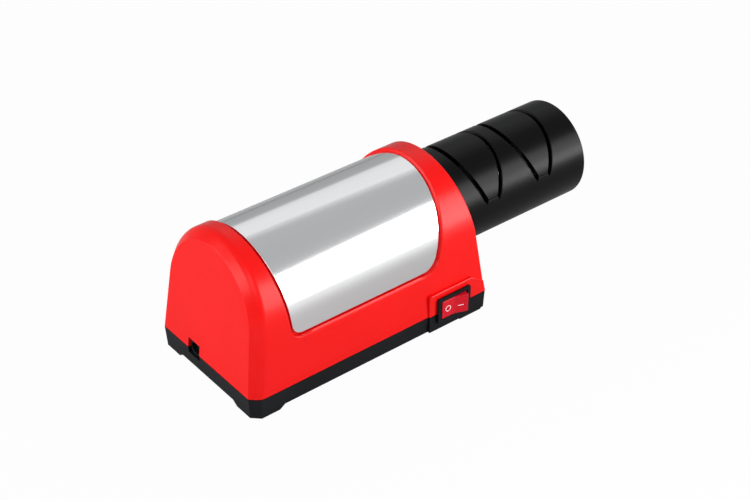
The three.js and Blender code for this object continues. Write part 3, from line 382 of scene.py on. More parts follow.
def turned(name, profile, steps=96, place=onAxis):
    # Closed profile of (x, radius) turned about the drive axis, or about X where place says so
    angles = [2 * math.pi * step / steps for step in range(steps)]
    rings = [[place(x, r * math.sin(a), r * math.cos(a)) for x, r in profile] for a in angles]
    return skin(name, rings, closed=True)


def bake(thing):
    graph = bpy.context.evaluated_depsgraph_get()
    mesh = bpy.data.meshes.new_from_object(thing.evaluated_get(graph))
    thing.modifiers.clear()
    thing.data = mesh
    return thing


def combine(thing, other, operation):
    change = thing.modifiers.new("combine", "BOOLEAN")
    change.operation = operation
    change.object = other
    change.solver = "MANIFOLD"
    bake(thing)
    bpy.data.objects.remove(other)


def carve(thing, other):
    combine(thing, other, "DIFFERENCE")


def weld(thing, other):
    combine(thing, other, "UNION")


def keep(thing, other):
    combine(thing, other, "INTERSECT")


def smooth(thing, angle=28):
    # Flats stay flat beside their rounded edges, and real corners stay sharp
    thing.data.shade_smooth()
    thing.data.set_sharp_from_angle(angle=math.radians(angle))
    weigh = thing.modifiers.new("weigh", "WEIGHTED_NORMAL")
    weigh.keep_sharp = True
    return bake(thing)


def soften(thing, width, segments=3, angle=30):
    bevel = thing.modifiers.new("soften", "BEVEL")
    bevel.width = width * mm
    bevel.segments = segments
    bevel.limit_method = "ANGLE"
    bevel.angle_limit = math.radians(angle)
    return bake(thing)


def dress(thing, slot):
    thing.data.materials.clear()
    thing.data.materials.append(materials[slot])


def finish(thing, body, slot, *nodes):
    dress(thing, slot)
    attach(thing, body)
    if nodes:
        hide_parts(*nodes)


def refined(name, node):
    # The frame's own solid, merged and with its edges broken
    thing = addObject(name, frame["nodes"][node].data.copy())
    form = bmesh.new()
    form.from_mesh(thing.data)
    bmesh.ops.remove_doubles(form, verts=form.verts, dist=meshing["frameMerge"] * mm)
    flat = math.radians(meshing["flatAngle"])
    bmesh.ops.dissolve_limit(form, angle_limit=flat, verts=form.verts, edges=form.edges, delimit={"NORMAL"})
    form.to_mesh(thing.data)
    form.free()
    return smooth(soften(thing, meshing["frameEdge"]))


# Body section

shell = {
    "length": (shellHigh.x - shellLow.x) / mm,
    "seam": shellLow.z / mm,
    "top": shellHigh.z / mm,
    "archRadius": 37.4,
    "sideDraft": 0.08,
    "leftDraft": 0.12,
    "rightDraft": 0.14,
    "bevelLength": 4.6, "bevelDepth": 4.4,
    "endRounds": (0.6, 6.0, 1.0),
    "wall": 2.2,
    "cavityRounds": (0.01, 0.01, 0.01),
    "archSteps": 150,
    "postRadius": 4.2, "postHole": 1.8, "postLow": 15.3, "postHigh": 32.3,
    "inletPlace": 10.0, "inletWidth": 9.6, "inletTop": 18.0, "inletDepth": 5.3,
    "axisRise": 3.5,
}
shell["archCentre"] = shell["top"] - shell["archRadius"]
axisHeight = shell["archCentre"] + shell["axisRise"]
lean = math.atan(shell["sideDraft"])


def sideAt(radius, height):
    return (radius - (height - shell["archCentre"]) * math.sin(lean)) / math.cos(lean)


def leftFaceAt(height):
    return shell["leftDraft"] * (height - shell["seam"])


def rightFaceAt(height):
    return shell["length"] - shell["rightDraft"] * (height - shell["seam"])


def archRows(radius, steps):
    rows = []
    for step in range(steps + 1):
        angle = math.pi - lean - (math.pi - 2 * lean) * step / steps
        rows.append((radius * math.cos(angle), shell["archCentre"] + radius * math.sin(angle)))
    return rows


def sectionRing(inset, bottom):
    radius = shell["archRadius"] - inset
    side = sideAt(radius, bottom)
    return [(-side, bottom)] + archRows(radius, shell["archSteps"]) + [(side, bottom)]


def bodyForm(name, inset, bottom, rounds):
    # The arched body, drawn in by an inset; both ends are sloped faces, the left one behind a bevel
    bevelRound, shoulderRound, rightRound = rounds
    mitre = math.tan(math.pi / 8) * inset
    left = rounded([
        (inset, shell["bevelDepth"] + mitre + wellPast, 0),
        (inset, shell["bevelDepth"] + mitre, bevelRound),
        (shell["bevelLength"] + mitre, inset, shoulderRound),
        (shell["bevelLength"] + mitre + wellPast, inset, 0),
    ])[1:-1]
    right = rounded([
        (inset + wellPast, inset, 0), (inset, inset, rightRound), (inset, inset + wellPast, 0),
    ])[1:-1]
    rings = []
    for along, drawn in left:
        rings.append([spot(along + leftFaceAt(z), y, z) for y, z in sectionRing(drawn, bottom)])
    for along, drawn in right:
        rings.append([spot(rightFaceAt(z) - along, y, z) for y, z in sectionRing(drawn, bottom)])
    return skin(name, rings)


# Window for the steel cover

window = {
    "left": 25.3,
    "right": shell["length"] - 30.7,
    "bottom": shell["archCentre"] - 6.9,
    "leftLean": 0.118,
    "rightLean": 0.252,
    "leftCorner": 6.5,
    "rightCorner": 9.4,
    "pocket": 3.1,
    "draft": 0.5,
    "edgeRound": 0.45,
    "ledge": 2.0, "ledgeDepth": 1.1, "ledgeLeft": (3.8, 5.3), "ledgeRight": (3.0, -2.0),
    "ledgeFade": 0.02, "ledgeUnder": 0.5, "ledgeOver": 0.4,
    "flankRows": 14,
    "archRows": 130,
}


def windowEdge(height, grow, outward, place, share, corner):
    # Where the window's side edge lies at a height, with its rounded foot
    bottom = window["bottom"] - grow
    radius = corner + grow
    slant = math.hypot(1, share)
    centreHeight = bottom + radius

    def line(level):
        return place + outward * (grow + share * (level - window["bottom"]))

    if height >= centreHeight - radius * share / slant:
        return line(height)
    centre = line(centreHeight) - outward * radius * slant
    return centre + outward * math.sqrt(max(radius ** 2 - (centreHeight - height) ** 2, 0))


def windowRows(grow, inset):
    radius = shell["archRadius"] - inset
    bottom = window["bottom"] - grow
    arc = archRows(radius, window["archRows"])
    rise = arc[0][1] - bottom
    flank = [bottom + rise * (step / window["flankRows"]) ** 2 for step in range(window["flankRows"])]
    front = [(-sideAt(radius, z), z) for z in flank]
    return front + arc + [(-y, z) for y, z in reversed(front)]


def windowEdges(height, grow):
    return (
        windowEdge(height, grow, -1, window["left"], window["leftLean"], window["leftCorner"]),
        windowEdge(height, grow, 1, window["right"], window["rightLean"], window["rightCorner"]),
    )


def pocketRows(grow, inset):
    return windowRows(max(grow, 0), inset)


def pocketEdges(height, grow):
    # Only the right wall is drafted
    return windowEdges(height, max(grow, 0))[0], windowEdges(height, grow)[1]


def slab(name, rowsAt, edgesAt, profile, place=spot):
    # A bent plate: rows of (y, z) from left edge to right, at every (grow, inset) of the profile
    layers = []
    for grow, inset in profile:
        rows = rowsAt(grow, inset)
        layers.append([[place(x, y, z) for x in edgesAt(z, grow)] for y, z in rows])
    count = len(layers[0])
    last = len(layers) - 1
    faces = []

    def addFace(*corners):
        faces.append([(layer * count + row) * 2 + side for layer, row, side in corners])

    for row in range(count - 1):
        after = row + 1
        for layer in (0, last):
            addFace((layer, row, 0), (layer, row, 1), (layer, after, 1), (layer, after, 0))
        for layer in range(last):
            for side in (0, 1):
                addFace(
                    (layer, row, side), (layer, after, side), (layer + 1, after, side), (layer + 1, row, side)
                )
    for layer in range(last):
        for row in (0, count - 1):
            addFace((layer, row, 0), (layer, row, 1), (layer + 1, row, 1), (layer + 1, row, 0))
    return meshObject(name, [point for layer in layers for row in layer for point in row], faces)


def edgeProfile(outer, size, depth, foot, way=1):
    # From the surface down to the foot, over a quarter round that opens outwards, or inwards where way is -1
    points = []
    for step in range(meshing["roundSteps"] + 1):
        angle = math.pi / 2 * step / meshing["roundSteps"]
        points.append((outer + way * size * (1 - math.sin(angle)), depth + size * (1 - math.cos(angle))))
    return points + [foot]


def openingProfile(size, foot):
    edge = edgeProfile(0, size, 0, foot)
    return [(edge[0][0], -overrun)] + edge


def ledgeCutter(side):
    # Takes the corner off the shell below the window, fading out towards both ends
    left, right = windowEdges(window["bottom"], 0)
    places = [left + along for along in window["ledgeLeft"]]
    places += [right - along for along in window["ledgeRight"]]
    rings = []
    for x, share in zip(places, (window["ledgeFade"], 1, 1, window["ledgeFade"])):
        drop = window["ledge"] * share
        sink = window["ledgeDepth"] * share
        low = (sideAt(shell["archRadius"], window["bottom"] - drop), window["bottom"] - drop)
        high = (sideAt(shell["archRadius"] - sink, window["bottom"]), window["bottom"])
        slope = ((high[0] - low[0]) / drop, (high[1] - low[1]) / drop)
        under = (low[0] - slope[0] * window["ledgeUnder"], low[1] - slope[1] * window["ledgeUnder"])
        over = (high[0] + slope[0] * window["ledgeOver"], high[1] + slope[1] * window["ledgeOver"])
        rings.append([spot(x, side * y, z) for y, z in (under, over, (under[0] + overrun, over[1]))])
    return skin("ledgeCutter", rings)


# Raised panel and opening of the switch

switch = {
    "fromRight": 22.0,
    "height": 14.2,
    "cutLength": 19.6, "cutHeight": 13.6, "cutDepth": 13.0,
    "panelFront": -40.708, "panelReach": 15.3, "panelTop": 24.8, "panelBevel": 0.4,
    "panelRimShares": ((0, 0.62), (0.06, 0.5), (0.88, 0.06), (1, 0)), "panelCorner": 1.6,
    "panelCutLength": 10.0, "panelCutHeight": 5.3, "panelCutRounds": (0.8, 1.2),
    "panelFootIn": 0.2, "panelCutIn": 0.9,
}
switchPlace = shell["length"] - switch["fromRight"]


def panelForm():
    # A flat face with a rounded rim that runs out at the right end, where its upper corner is cut off
    left = switchPlace - switch["panelReach"]
    right = shell["length"]
    low, top = shell["seam"], switch["panelTop"]
    cut = top - switch["panelCutHeight"]
    footRound, topRound = switch["panelCutRounds"]
    front, bevel = switch["panelFront"], switch["panelBevel"]
    rim = [(0, -sideAt(shell["archRadius"] - shell["wall"], top))]
    rim += [(bevel * a, front + bevel * b) for a, b in switch["panelRimShares"]]
    rings = []
    for draw, depth in rim:
        outline = rounded([
            (left + draw, low, 0),
            (right - switch["panelFootIn"] - draw / 2, low, 0),
            (rightFaceAt(cut) - switch["panelCutIn"] - draw / 2, cut - draw / 2, footRound),
            (right - switch["panelCutLength"] - draw / 2, top - draw, topRound),
            (left + draw, top - draw, switch["panelCorner"]),
        ])
        rings.append([spot(x, depth, z) for x, z in outline])
    return skin("panel", rings)


def switchCutter():
    depth = (switch["panelFront"] - overrun, switch["panelFront"] + switch["cutDepth"])
    length, height = span(switchPlace, switch["cutLength"]), span(switch["height"], switch["cutHeight"])
    return block("switchCut", length, depth, height)


# Collar on the body's right end, which the shell is bored for

collar = {
    "radius": 23.6,
    "start": 118.0,
    "tip": 146.0, "tipRounds": (0, 0, 0.6, 0.3),
    "shoulderRadius": 5.5,
    "plugRadius": 12.0, "plugLeft": 134.576, "plugShort": 0.8, "plugStep": 0.02,
    "bushRadius": 8.0, "bushDepth": 10.0,
    "fit": 0.3,
    "screwCircle": 17.5, "screwCount": 3, "screwHole": 1.8,
}


def carveScrewHoles(thing, high):
    for centre in circle(collar["screwCircle"], collar["screwCount"], (0, axisHeight), math.pi / 2):
        hole = circle(collar["screwHole"], steps=24, centre=centre)
        carve(thing, prism("screwHole", hole, collar["plugLeft"] - wellPast, high, "X"))


def makeShell():
    outer = bodyForm("redShell", 0, shell["seam"], shell["endRounds"])
    weld(outer, panelForm())
    cavity = bodyForm("cavity", shell["wall"], shell["seam"] - overrun, shell["cavityRounds"])
    carve(cavity, slab("saddle", windowRows, windowEdges, [
        (shell["wall"], shell["wall"] - overrun), (shell["wall"], window["pocket"] + shell["wall"]),
    ]))
    carve(outer, cavity)
    pocket = openingProfile(window["edgeRound"], (-window["draft"], window["pocket"]))
    carve(outer, slab("pocket", pocketRows, pocketEdges, pocket))
    for side in (-1, 1):
        carve(outer, ledgeCutter(side))
    for node in numbered("housing_screw_", 4):
        low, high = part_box(node)
        centre = middleOf(low, high)[:2]
        post = circle(shell["postRadius"], steps=48, centre=centre)
        weld(outer, prism("post", post, shell["postLow"], shell["postHigh"], "Z"))
        hole = circle(shell["postHole"], steps=32, centre=centre)
        carve(outer, prism("hole", hole, shell["postLow"] - overrun, shell["postHigh"] - shell["wall"], "Z"))
    carve(outer, block(
        "inletCut", (-overrun, shell["inletDepth"]), span(shell["inletPlace"], shell["inletWidth"]),
        (shell["seam"] - overrun, shell["inletTop"]),
    ))
    carve(outer, switchCutter())
    beyond = shell["length"] + overrun
    hole = circle(collar["plugRadius"] + collar["fit"], steps=96, centre=(0, axisHeight))
    carve(outer, prism("collarHole", hole, collar["plugLeft"] - wellPast, beyond, "X"))
    carveScrewHoles(outer, beyond)
    finish(smooth(outer), "body", "red_shell", "housing")


makeShell()
print("red shell made")


# Steel cover, a bent sheet in the window with a wider gap at its left end

steel = {"inset": 1.6, "thickness": 0.8, "gap": 0.8, "leftGap": 1.8, "edgeRound": 0.3}


def coverEdges(height, grow):
    left, right = windowEdges(height, grow)
    return left + steel["leftGap"] - steel["gap"], right


def makeCover():
    foot = (-steel["gap"], steel["inset"] + steel["thickness"])
    profile = edgeProfile(-steel["gap"], steel["edgeRound"], steel["inset"], foot, -1)
    cover = slab("steelCover", windowRows, coverEdges, profile)
    finish(smooth(cover), "body", "polished_steel", "steel_cover")


makeCover()
print("steel cover made")

for name, node in (("blackBase", "base"), ("switchFrame", "switch_body")):
    finish(refined(name, node), "body", "black_plastic", node)


# Power inlet, whose barrel stands out of its block into the notch

jack = {"reach": 4.4, "radius": 4.1, "bore": 3.25, "sunk": 0.8, "rounds": (0, 0, 0.3, 0.3)}


def lineThrough(low, high):
    # Places about the line along X through the middle of a frame box
    middleY, middleZ = middleOf(low, high)[1:]

    def place(x, y, z):
        return spot(x, middleY + y, middleZ + z)

    return place


def makeJack():
    low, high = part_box("inlet_jack")
    face = (low.x - originX) / mm
    sunk, tip = face + jack["sunk"], face - jack["reach"]
    profile = ringProfile(sunk, tip, jack["bore"], jack["radius"], jack["rounds"])
    barrel = turned("barrel", profile, steps=64, place=lineThrough(low, high))
    thing = refined("inletJack", "inlet_jack")
    weld(thing, barrel)
    finish(smooth(thing), "body", "black_plastic", "inlet_jack")


makeJack()
print("base, switch frame and inlet made")


# Rocker, level about its pivot and then tipped to off

rocker = {
    "pivotY": -39.408,
    "tilt": 10.0,
    "dip": 2.9,
    "reach": 7.7,
    "skirt": 0.8, "skirtRound": 0.4,
    "foot": 3.5, "footRound": 0.8,
    "depth": 4.0,
    "halfHeight": 5.2,
    "valleyRound": 9.0,
    "edgeRound": 0.55,
    "endRoundShare": 0.8,
    "pinRadius": 1.2, "pinReach": 6.2,
    "markProud": 0.05, "markRootShare": -0.15, "markWidth": 0.32,
    "ringRadius": 1.52,
    "dashLength": 3.1, "dashRoundShare": 0.4, "dashShift": (-0.4, -0.55),
}


def rockerSpot(x, out, z):
    tip = math.radians(rocker["tilt"])
    return spot(
        switchPlace + x * math.cos(tip) - out * math.sin(tip),
        rocker["pivotY"] - x * math.sin(tip) - out * math.cos(tip),
        switch["height"] + z,
    )


def rockerSkin(name, outline, half):
    return skin(name, [[rockerSpot(x, out, z) for x, out in outline] for z in (-half, half)])


def makeRocker():
    rise = rocker["dip"] + rocker["reach"] * math.tan(math.radians(rocker["tilt"]))
    reach, foot = rocker["reach"], rocker["foot"]
    outline = rounded([
        (0, rocker["dip"], rocker["valleyRound"]),
        (-reach, rise, rocker["edgeRound"]),
        (-reach, -rocker["skirt"], rocker["skirtRound"]),
        (-foot, -rocker["depth"], rocker["footRound"]),
        (foot, -rocker["depth"], rocker["footRound"]),
        (reach, -rocker["skirt"], rocker["skirtRound"]),
        (reach, rise, rocker["edgeRound"]),
    ], steps=6)
    button = rockerSkin("rockerButton", outline, rocker["halfHeight"])
    soften(button, rocker["edgeRound"] * rocker["endRoundShare"], segments=4, angle=60)
    weld(button, rockerSkin("pin", circle(rocker["pinRadius"], steps=40), rocker["pinReach"]))
    finish(smooth(button, angle=32), "rocker", "rocker_red", "switch_rocker")


def faceSpot(side, along, up, proudShare):
    # A point on one of the rocker's two faces, from its middle
    slope = math.radians(rocker["tilt"])
    x = rocker["reach"] / 2 + side * along
    out = rocker["dip"] + x * math.tan(slope) + proudShare * rocker["markProud"] / math.cos(slope)
    return rockerSpot(side * x, out, up)


def makeMarks():
    # A ring for off on the left face and a dash for on on the right one
    half, root = rocker["markWidth"] / 2, rocker["markRootShare"]
    radii = [(rocker["ringRadius"] + across, share) for across, share in (
        (-half, root), (-half, 1), (half, 1), (half, root),
    )]
    turns = circle(1, steps=48)
    rings = [[faceSpot(-1, r * a, r * b, share) for r, share in radii] for a, b in turns]
    finish(skin("offMark", rings, closed=True), "rocker", "white_ink")
    long = rocker["dashLength"] / 2
    right, up = rocker["dashShift"]
    corners = ((-long, -half), (long, -half), (long, half), (-long, half))
    outline = rounded([(a, b, half * rocker["dashRoundShare"]) for a, b in corners], steps=3)
    layers = [[faceSpot(1, a + right, b + up, share) for a, b in outline] for share in (root, 1)]
    finish(skin("onMark", layers), "rocker", "white_ink")


makeRocker()
makeMarks()
print("rocker made")


# Sharpening head

head = {
    "length": 80.6,
    "radius": 26.2,
    "wall": 2.2,
    "endWall": 2.5, "endRound": 0.9,
    "intoBody": 3.0,
    "gap": 0.3,
    "coarseReach": 16.5,
    "stageSpacing": 34.6,
    "stages": 2,
    "slotWidth": 2.3, "slotAngle": 22.5, "slotFloor": 6.3, "slotRows": 90, "slotTip": 2.0,
    "tipLeanShare": 0.6, "tipLift": 0.2,
    "floorOffset": 4.2, "floorGap": 0.14,
    "edgeRound": 0.3,
    "legGap": 0.3, "legThickness": 1.8, "legHalfWidth": 2.2, "legDrop": 11.0,
    "segments": 176,
}
# How far the blocks that cut the turned pieces reach
room = {"below": 40.0, "above": 20.0, "beside": 60.0}

slotShare = math.tan(math.radians(head["slotAngle"]))
halfSlot = head["slotWidth"] / 2 / math.cos(math.radians(head["slotAngle"]))
headEnd = shell["length"] + head["length"]
coarsePlace = shell["length"] + head["coarseReach"]
finePlace = coarsePlace + head["stageSpacing"]
stages = {"coarse": coarsePlace, "fine": finePlace}


def rightOfBody():
    # All the room beyond the body's sloped right face, which the tube and the collar are cut to
    low, high = shell["seam"] - room["below"], shell["top"] + room["above"]
    beyond = headEnd + wellPast
    face = [(rightFaceAt(z) + head["gap"], z) for z in (high, low)]
    return prism("beside", face + [(beyond, low), (beyond, high)], -room["beside"], room["beside"], "Y")


def stageSlab(name, place, widen, floorRise, profile):
    # The slab between a stage's two slots, made wider to take them in or narrower to stand free of them
    floor = head["slotFloor"] + floorRise

    def rowsAt(grow, inset):
        radius = head["radius"] - inset
        reach = math.acos((floor - grow) / radius)
        steps = head["slotRows"]
        turns = [reach * (2 * step / steps - 1) for step in range(steps + 1)]
        return [(radius * math.sin(turn), radius * math.cos(turn)) for turn in turns]

    def edgesAt(height, grow):
        offset = head["floorOffset"] + widen + grow + (height - head["slotFloor"]) * slotShare
        return place - offset, place + offset

    return slab(name, rowsAt, edgesAt, profile, onAxis)


def slotTip(side, facing):
    # Each slot runs a little past the bridge's foot and ends in a point
    floor, drop, lift = head["slotFloor"], head["slotTip"], head["tipLift"]
    middle = coarsePlace + side * head["floorOffset"]
    outline = [
        (middle - halfSlot + side * lift * slotShare, floor + lift),
        (middle + halfSlot + side * lift * slotShare, floor + lift),
        (middle + side * (head["tipLeanShare"] * halfSlot - drop * slotShare), floor - drop),
    ]
    near, far = facing * (head["radius"] - 2 * head["wall"]), facing * (head["radius"] + overrun)
    return skin("slotTip", [[onAxis(x, y, z) for x, z in outline] for y in (near, far)])


def startTree(name, inputs):
    # A tree with the given inputs between its geometry and its material
    tree = bpy.data.node_groups.new(name, "GeometryNodeTree")
    for label, kind in {"Geometry": "Geometry", **inputs, "Material": "Material"}.items():
        tree.interface.new_socket(label, in_out="INPUT", socket_type="NodeSocket" + kind)
    tree.interface.new_socket("Geometry", in_out="OUTPUT", socket_type="NodeSocketGeometry")
    return tree, addNode(tree, "NodeGroupInput").outputs


def pieceIn(tree, source):
    info = addNode(tree, "GeometryNodeObjectInfo", links={"Object": source}, transform_space="ORIGINAL")
    return info.outputs["Geometry"]


def copiesIn(tree, points, piece, **links):
    links.update({"Points": points, "Instance": piece})
    return addNode(tree, "GeometryNodeInstanceOnPoints", links=links)


def realIn(tree, source):
    return addNode(tree, "GeometryNodeRealizeInstances", links={0: source})


def endTree(tree, given, source):
    links = {"Geometry": realIn(tree, source), "Material": given["Material"]}
    dressed = addNode(tree, "GeometryNodeSetMaterial", links=links)
    addNode(tree, "NodeGroupOutput", links={0: dressed})
    return tree


def runTree(thing, tree, inputs):
    nodes = thing.modifiers.new("nodes", "NODES")
    nodes.node_group = tree
    for item in tree.interface.items_tree:
        if item.item_type == "SOCKET" and item.in_out == "INPUT" and item.name in inputs:
            nodes[item.identifier] = inputs[item.name]
    bake(thing)


def slottedTree():
    # Cuts the same opening at each stage along the tube
    tree, given = startTree("slottedTube", {"Opening": "Object", "Stages": "Int", "Stage Spacing": "Float"})
    step = addNode(tree, "ShaderNodeCombineXYZ", links={"X": given["Stage Spacing"]})
    line = addNode(tree, "GeometryNodeMeshLine", links={"Count": given["Stages"], "Offset": step})
    openings = realIn(tree, copiesIn(tree, line, pieceIn(tree, given["Opening"])))
    cut = addNode(
        tree, "GeometryNodeMeshBoolean", links={"Mesh 1": given["Geometry"], "Mesh 2": openings},
        operation="DIFFERENCE", solver="MANIFOLD",
    )
    return endTree(tree, given, cut)


def makeHead():
    inner = head["radius"] - head["wall"]
    left = rightFaceAt(shell["top"]) - head["intoBody"]
    tube = turned("headShell", rounded([
        (left, inner, 0),
        (left, head["radius"], 0),
        (headEnd, head["radius"], head["endRound"]),
        (headEnd, 0, 0),
        (headEnd - head["endWall"], 0, 0),
        (headEnd - head["endWall"], inner, head["endRound"] / 2),
    ], steps=10), steps=head["segments"])
    keep(tube, rightOfBody())
    profile = openingProfile(head["edgeRound"], (0, head["wall"] + overrun))
    opening = stageSlab("opening", coarsePlace, halfSlot, 0, profile)
    for side in (-1, 1):
        for facing in (-1, 1):
            weld(opening, slotTip(side, facing))
    runTree(tube, slottedTree(), {
        "Opening": opening, "Stages": head["stages"], "Stage Spacing": head["stageSpacing"] * mm,
        "Material": materials["head_plastic"],
    })
    bpy.data.objects.remove(opening)
    finish(smooth(tube), "head", "head_plastic", "head_cover")


def makeBridge(stage, place):
    outerLeg = head["radius"] - head["wall"] - head["legGap"]
    innerLeg = outerLeg - head["legThickness"]
    profile = edgeProfile(0, head["edgeRound"], 0, (0, head["radius"] - innerLeg), -1)
    bridge = stageSlab(stage + "Bridge", place, -halfSlot, head["floorGap"], profile)
    half = head["legHalfWidth"]
    legs = turned("legs", ringProfile(place - half, place + half, innerLeg, outerLeg), steps=120)
    floor = axisHeight + head["slotFloor"]
    keep(legs, block(
        "band", span(place, 2 * wellPast), span(0, room["beside"]),
        (floor - head["legDrop"], floor + head["legThickness"]),
    ))
    weld(bridge, legs)
    finish(smooth(bridge), "head", "head_plastic", stage + "_bridge")


makeHead()
for stage, place in stages.items():
    makeBridge(stage, place)
print("head made")


# Collar and drive line inside the head

drive = {
    "spindleRadius": 4.0, "spindleLeft": 125.1, "spindleRight": 207.0,
    "spindleRounds": (0, 0.4, 0.8, 0),
    "flatHalf": 3.3, "flatStart": 151.7,
    "bore": 4.3,
    "gap": 0.3,
    "spacerRadius": 7.0,
    "washerThickness": 1.5,
    "ringRounds": (0.3, 0.3, 0.3, 0.3),
    "discRadius": 20.2, "discThickness": 1.2, "discRounds": (0, 0.25, 0.25, 0), "discOffset": 3.6,
    "nutRadius": 6.2, "nutHeight": 4.4, "nutChamfer": 0.7, "nutChamferShare": 0.9,
    "nutRound": 0.4,
    "coats": {"coarse": "diamond_steel", "fine": "ceramic"},
}


def makeCollar():
    tip, shoulder = collar["tip"], collar["shoulderRadius"]
    profile = ringProfile(collar["start"], tip, shoulder, collar["radius"], collar["tipRounds"], steps=5)
    thing = turned("headCollar", profile, steps=128)
    keep(thing, rightOfBody())
    plugTip = tip - collar["plugShort"]
    plug = ringProfile(collar["plugLeft"], plugTip, shoulder + collar["plugStep"], collar["plugRadius"])
    weld(thing, turned("plug", plug))
    pocket = collar["bushRadius"] + collar["fit"]
    carve(thing, turned("pocket", ringProfile(tip - collar["bushDepth"], tip + overrun, 0, pocket)))
    carveScrewHoles(thing, tip - collar["fit"])
    finish(smooth(thing), "body", "head_plastic", "head_collar")


def carveFlats(thing, half, left, right):
    # Takes off what lies beyond the two flats of a shaft or a bore
    far = room["below"]
    for y in ((-far, -half), (half, far)):
        carve(thing, block("flat", (left, right), y, span(axisHeight, 2 * far)))


def makeSpindle():
    left, right = drive["spindleLeft"], drive["spindleRight"]
    profile = ringProfile(left, right, 0, drive["spindleRadius"], drive["spindleRounds"])
    spindle = turned("grindingSpindle", profile, steps=72)
    carveFlats(spindle, drive["flatHalf"], drive["flatStart"], right + overrun)
    finish(smooth(spindle), "drive", "steel", "spindle")


def makeRings():
    tip, gap, spacer = collar["tip"], drive["gap"], drive["spacerRadius"]
    outer = drive["discOffset"] + gap
    washerLeft = finePlace + outer
    washerRight = washerLeft + drive["washerThickness"]
    bushLeft = tip - collar["bushDepth"] + gap
    rings = [
        ("innerSpacer", "inner_spacer", tip + gap, coarsePlace - outer, spacer, "steel", "drive"),
        ("middleSpacer", "middle_spacer", coarsePlace + outer, finePlace - outer, spacer, "steel", "drive"),
        ("endWasher", "end_washer", washerLeft, washerRight, spacer, "steel", "drive"),
        ("spindleBush", "spindle_bush", bushLeft, tip, collar["bushRadius"], "bronze", "body"),
    ]
    for name, node, left, right, radius, slot, body in rings:
        ring = turned(name, ringProfile(left, right, drive["bore"], radius, drive["ringRounds"]))
        finish(smooth(ring), body, slot, node)


def makeNut():
    left = finePlace + drive["discOffset"] + drive["gap"] + drive["washerThickness"] + drive["gap"]
    right, slope = left + drive["nutHeight"], drive["nutChamfer"]
    corner, flat = drive["nutRadius"], drive["nutRadius"] * drive["nutChamferShare"]
    nut = turned("endNut", rounded([
        (left, drive["bore"], drive["nutRound"]), (left, flat, 0), (left + slope, corner, 0),
        (right - slope, corner, 0), (right, flat, 0), (right, drive["bore"], drive["nutRound"]),
    ], steps=4))
    hexagon = circle(corner, steps=6, centre=(0, axisHeight), start=math.pi / 6)
    keep(nut, prism("hexagon", hexagon, left - overrun, right + overrun, "X"))
    finish(smooth(nut), "drive", "steel", "end_nut")


def makeDisc(stage, side, left, slot):
    right = left + drive["discThickness"]
    profile = ringProfile(left, right, 0, drive["discRadius"], drive["discRounds"])
    disc = turned(stage + "Disc" + side.title(), profile, steps=128)
    bore = turned("bore", ringProfile(left - overrun / 2, right + overrun / 2, 0, drive["bore"]), steps=64)
    carveFlats(bore, drive["flatHalf"] + drive["gap"], left - overrun, right + overrun)
    carve(disc, bore)
    finish(smooth(disc), stage + "_" + side, slot, stage + "_disc_" + side)


makeCollar()
makeSpindle()
makeRings()
makeNut()
for stage, place in stages.items():
    slot = drive["coats"][stage]
    makeDisc(stage, "left", place - drive["discOffset"], slot)
    makeDisc(stage, "right", place + drive["discOffset"] - drive["discThickness"], slot)
print("collar, spindle and discs made")


# Springs, each drawn as two halves that meet between its discs

spring = {"turns": 3.0, "pitch": 1.15, "radius": 6.4, "wire": 0.35, "split": 0.02, "keep": 0.68}


def springTree():
    # A coil along X at each point
    sizes = ("Turns", "Coil Radius", "Coil Length", "Wire Radius", "Start Angle")
    tree, given = startTree("coilSprings", {name: "Float" for name in sizes})
    coil = addNode(tree, "GeometryNodeCurveSpiral", {"Resolution": 40}, {
        "Rotations": given["Turns"], "Start Radius": given["Coil Radius"],
        "End Radius": given["Coil Radius"], "Height": given["Coil Length"],
    })
    radius = {"Radius": given["Wire Radius"]}
    wire = addNode(tree, "GeometryNodeCurvePrimitiveCircle", {"Resolution": 12}, radius)
    thread = addNode(tree, "GeometryNodeCurveToMesh", {"Fill Caps": True}, {
        "Curve": coil, "Profile Curve": wire,
    })
    back = addNode(tree, "ShaderNodeMath", {1: -0.5}, {0: given["Coil Length"]}, operation="MULTIPLY")
    lift = addNode(tree, "ShaderNodeCombineXYZ", links={"Z": back})
    start = addNode(tree, "ShaderNodeCombineXYZ", links={"Z": given["Start Angle"]})
    centred = addNode(tree, "GeometryNodeTransform", links={
        "Geometry": thread, "Translation": lift, "Rotation": start,
    })
    turn = {"Rotation": (0, math.pi / 2, 0)}
    laid = addNode(tree, "GeometryNodeTransform", turn, {"Geometry": centred})
    return endTree(tree, given, copiesIn(tree, given["Geometry"], laid))


def makeSprings():
    tree = springTree()
    turns = spring["turns"] / 2
    length = turns * spring["pitch"]
    for stage, place in stages.items():
        for word, side, angle in (("left", -1, 0.0), ("right", 1, 2 * math.pi * turns)):
            middle = place + side * (length / 2 + spring["split"])
            half = meshObject(stage + "Spring" + word.title(), [onAxis(middle, 0, 0)], [])
            runTree(half, tree, {
                "Turns": turns, "Coil Radius": spring["radius"] * mm, "Coil Length": length * mm,
                "Wire Radius": spring["wire"] * mm, "Start Angle": angle, "Material": materials["steel"],
            })
            finish(smooth(half, angle=40), "drive", "steel", stage + "_spring")
            onAxis(place, 0, 0)
            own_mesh(half)


# Screws and feet, one model of each kind copied to its places

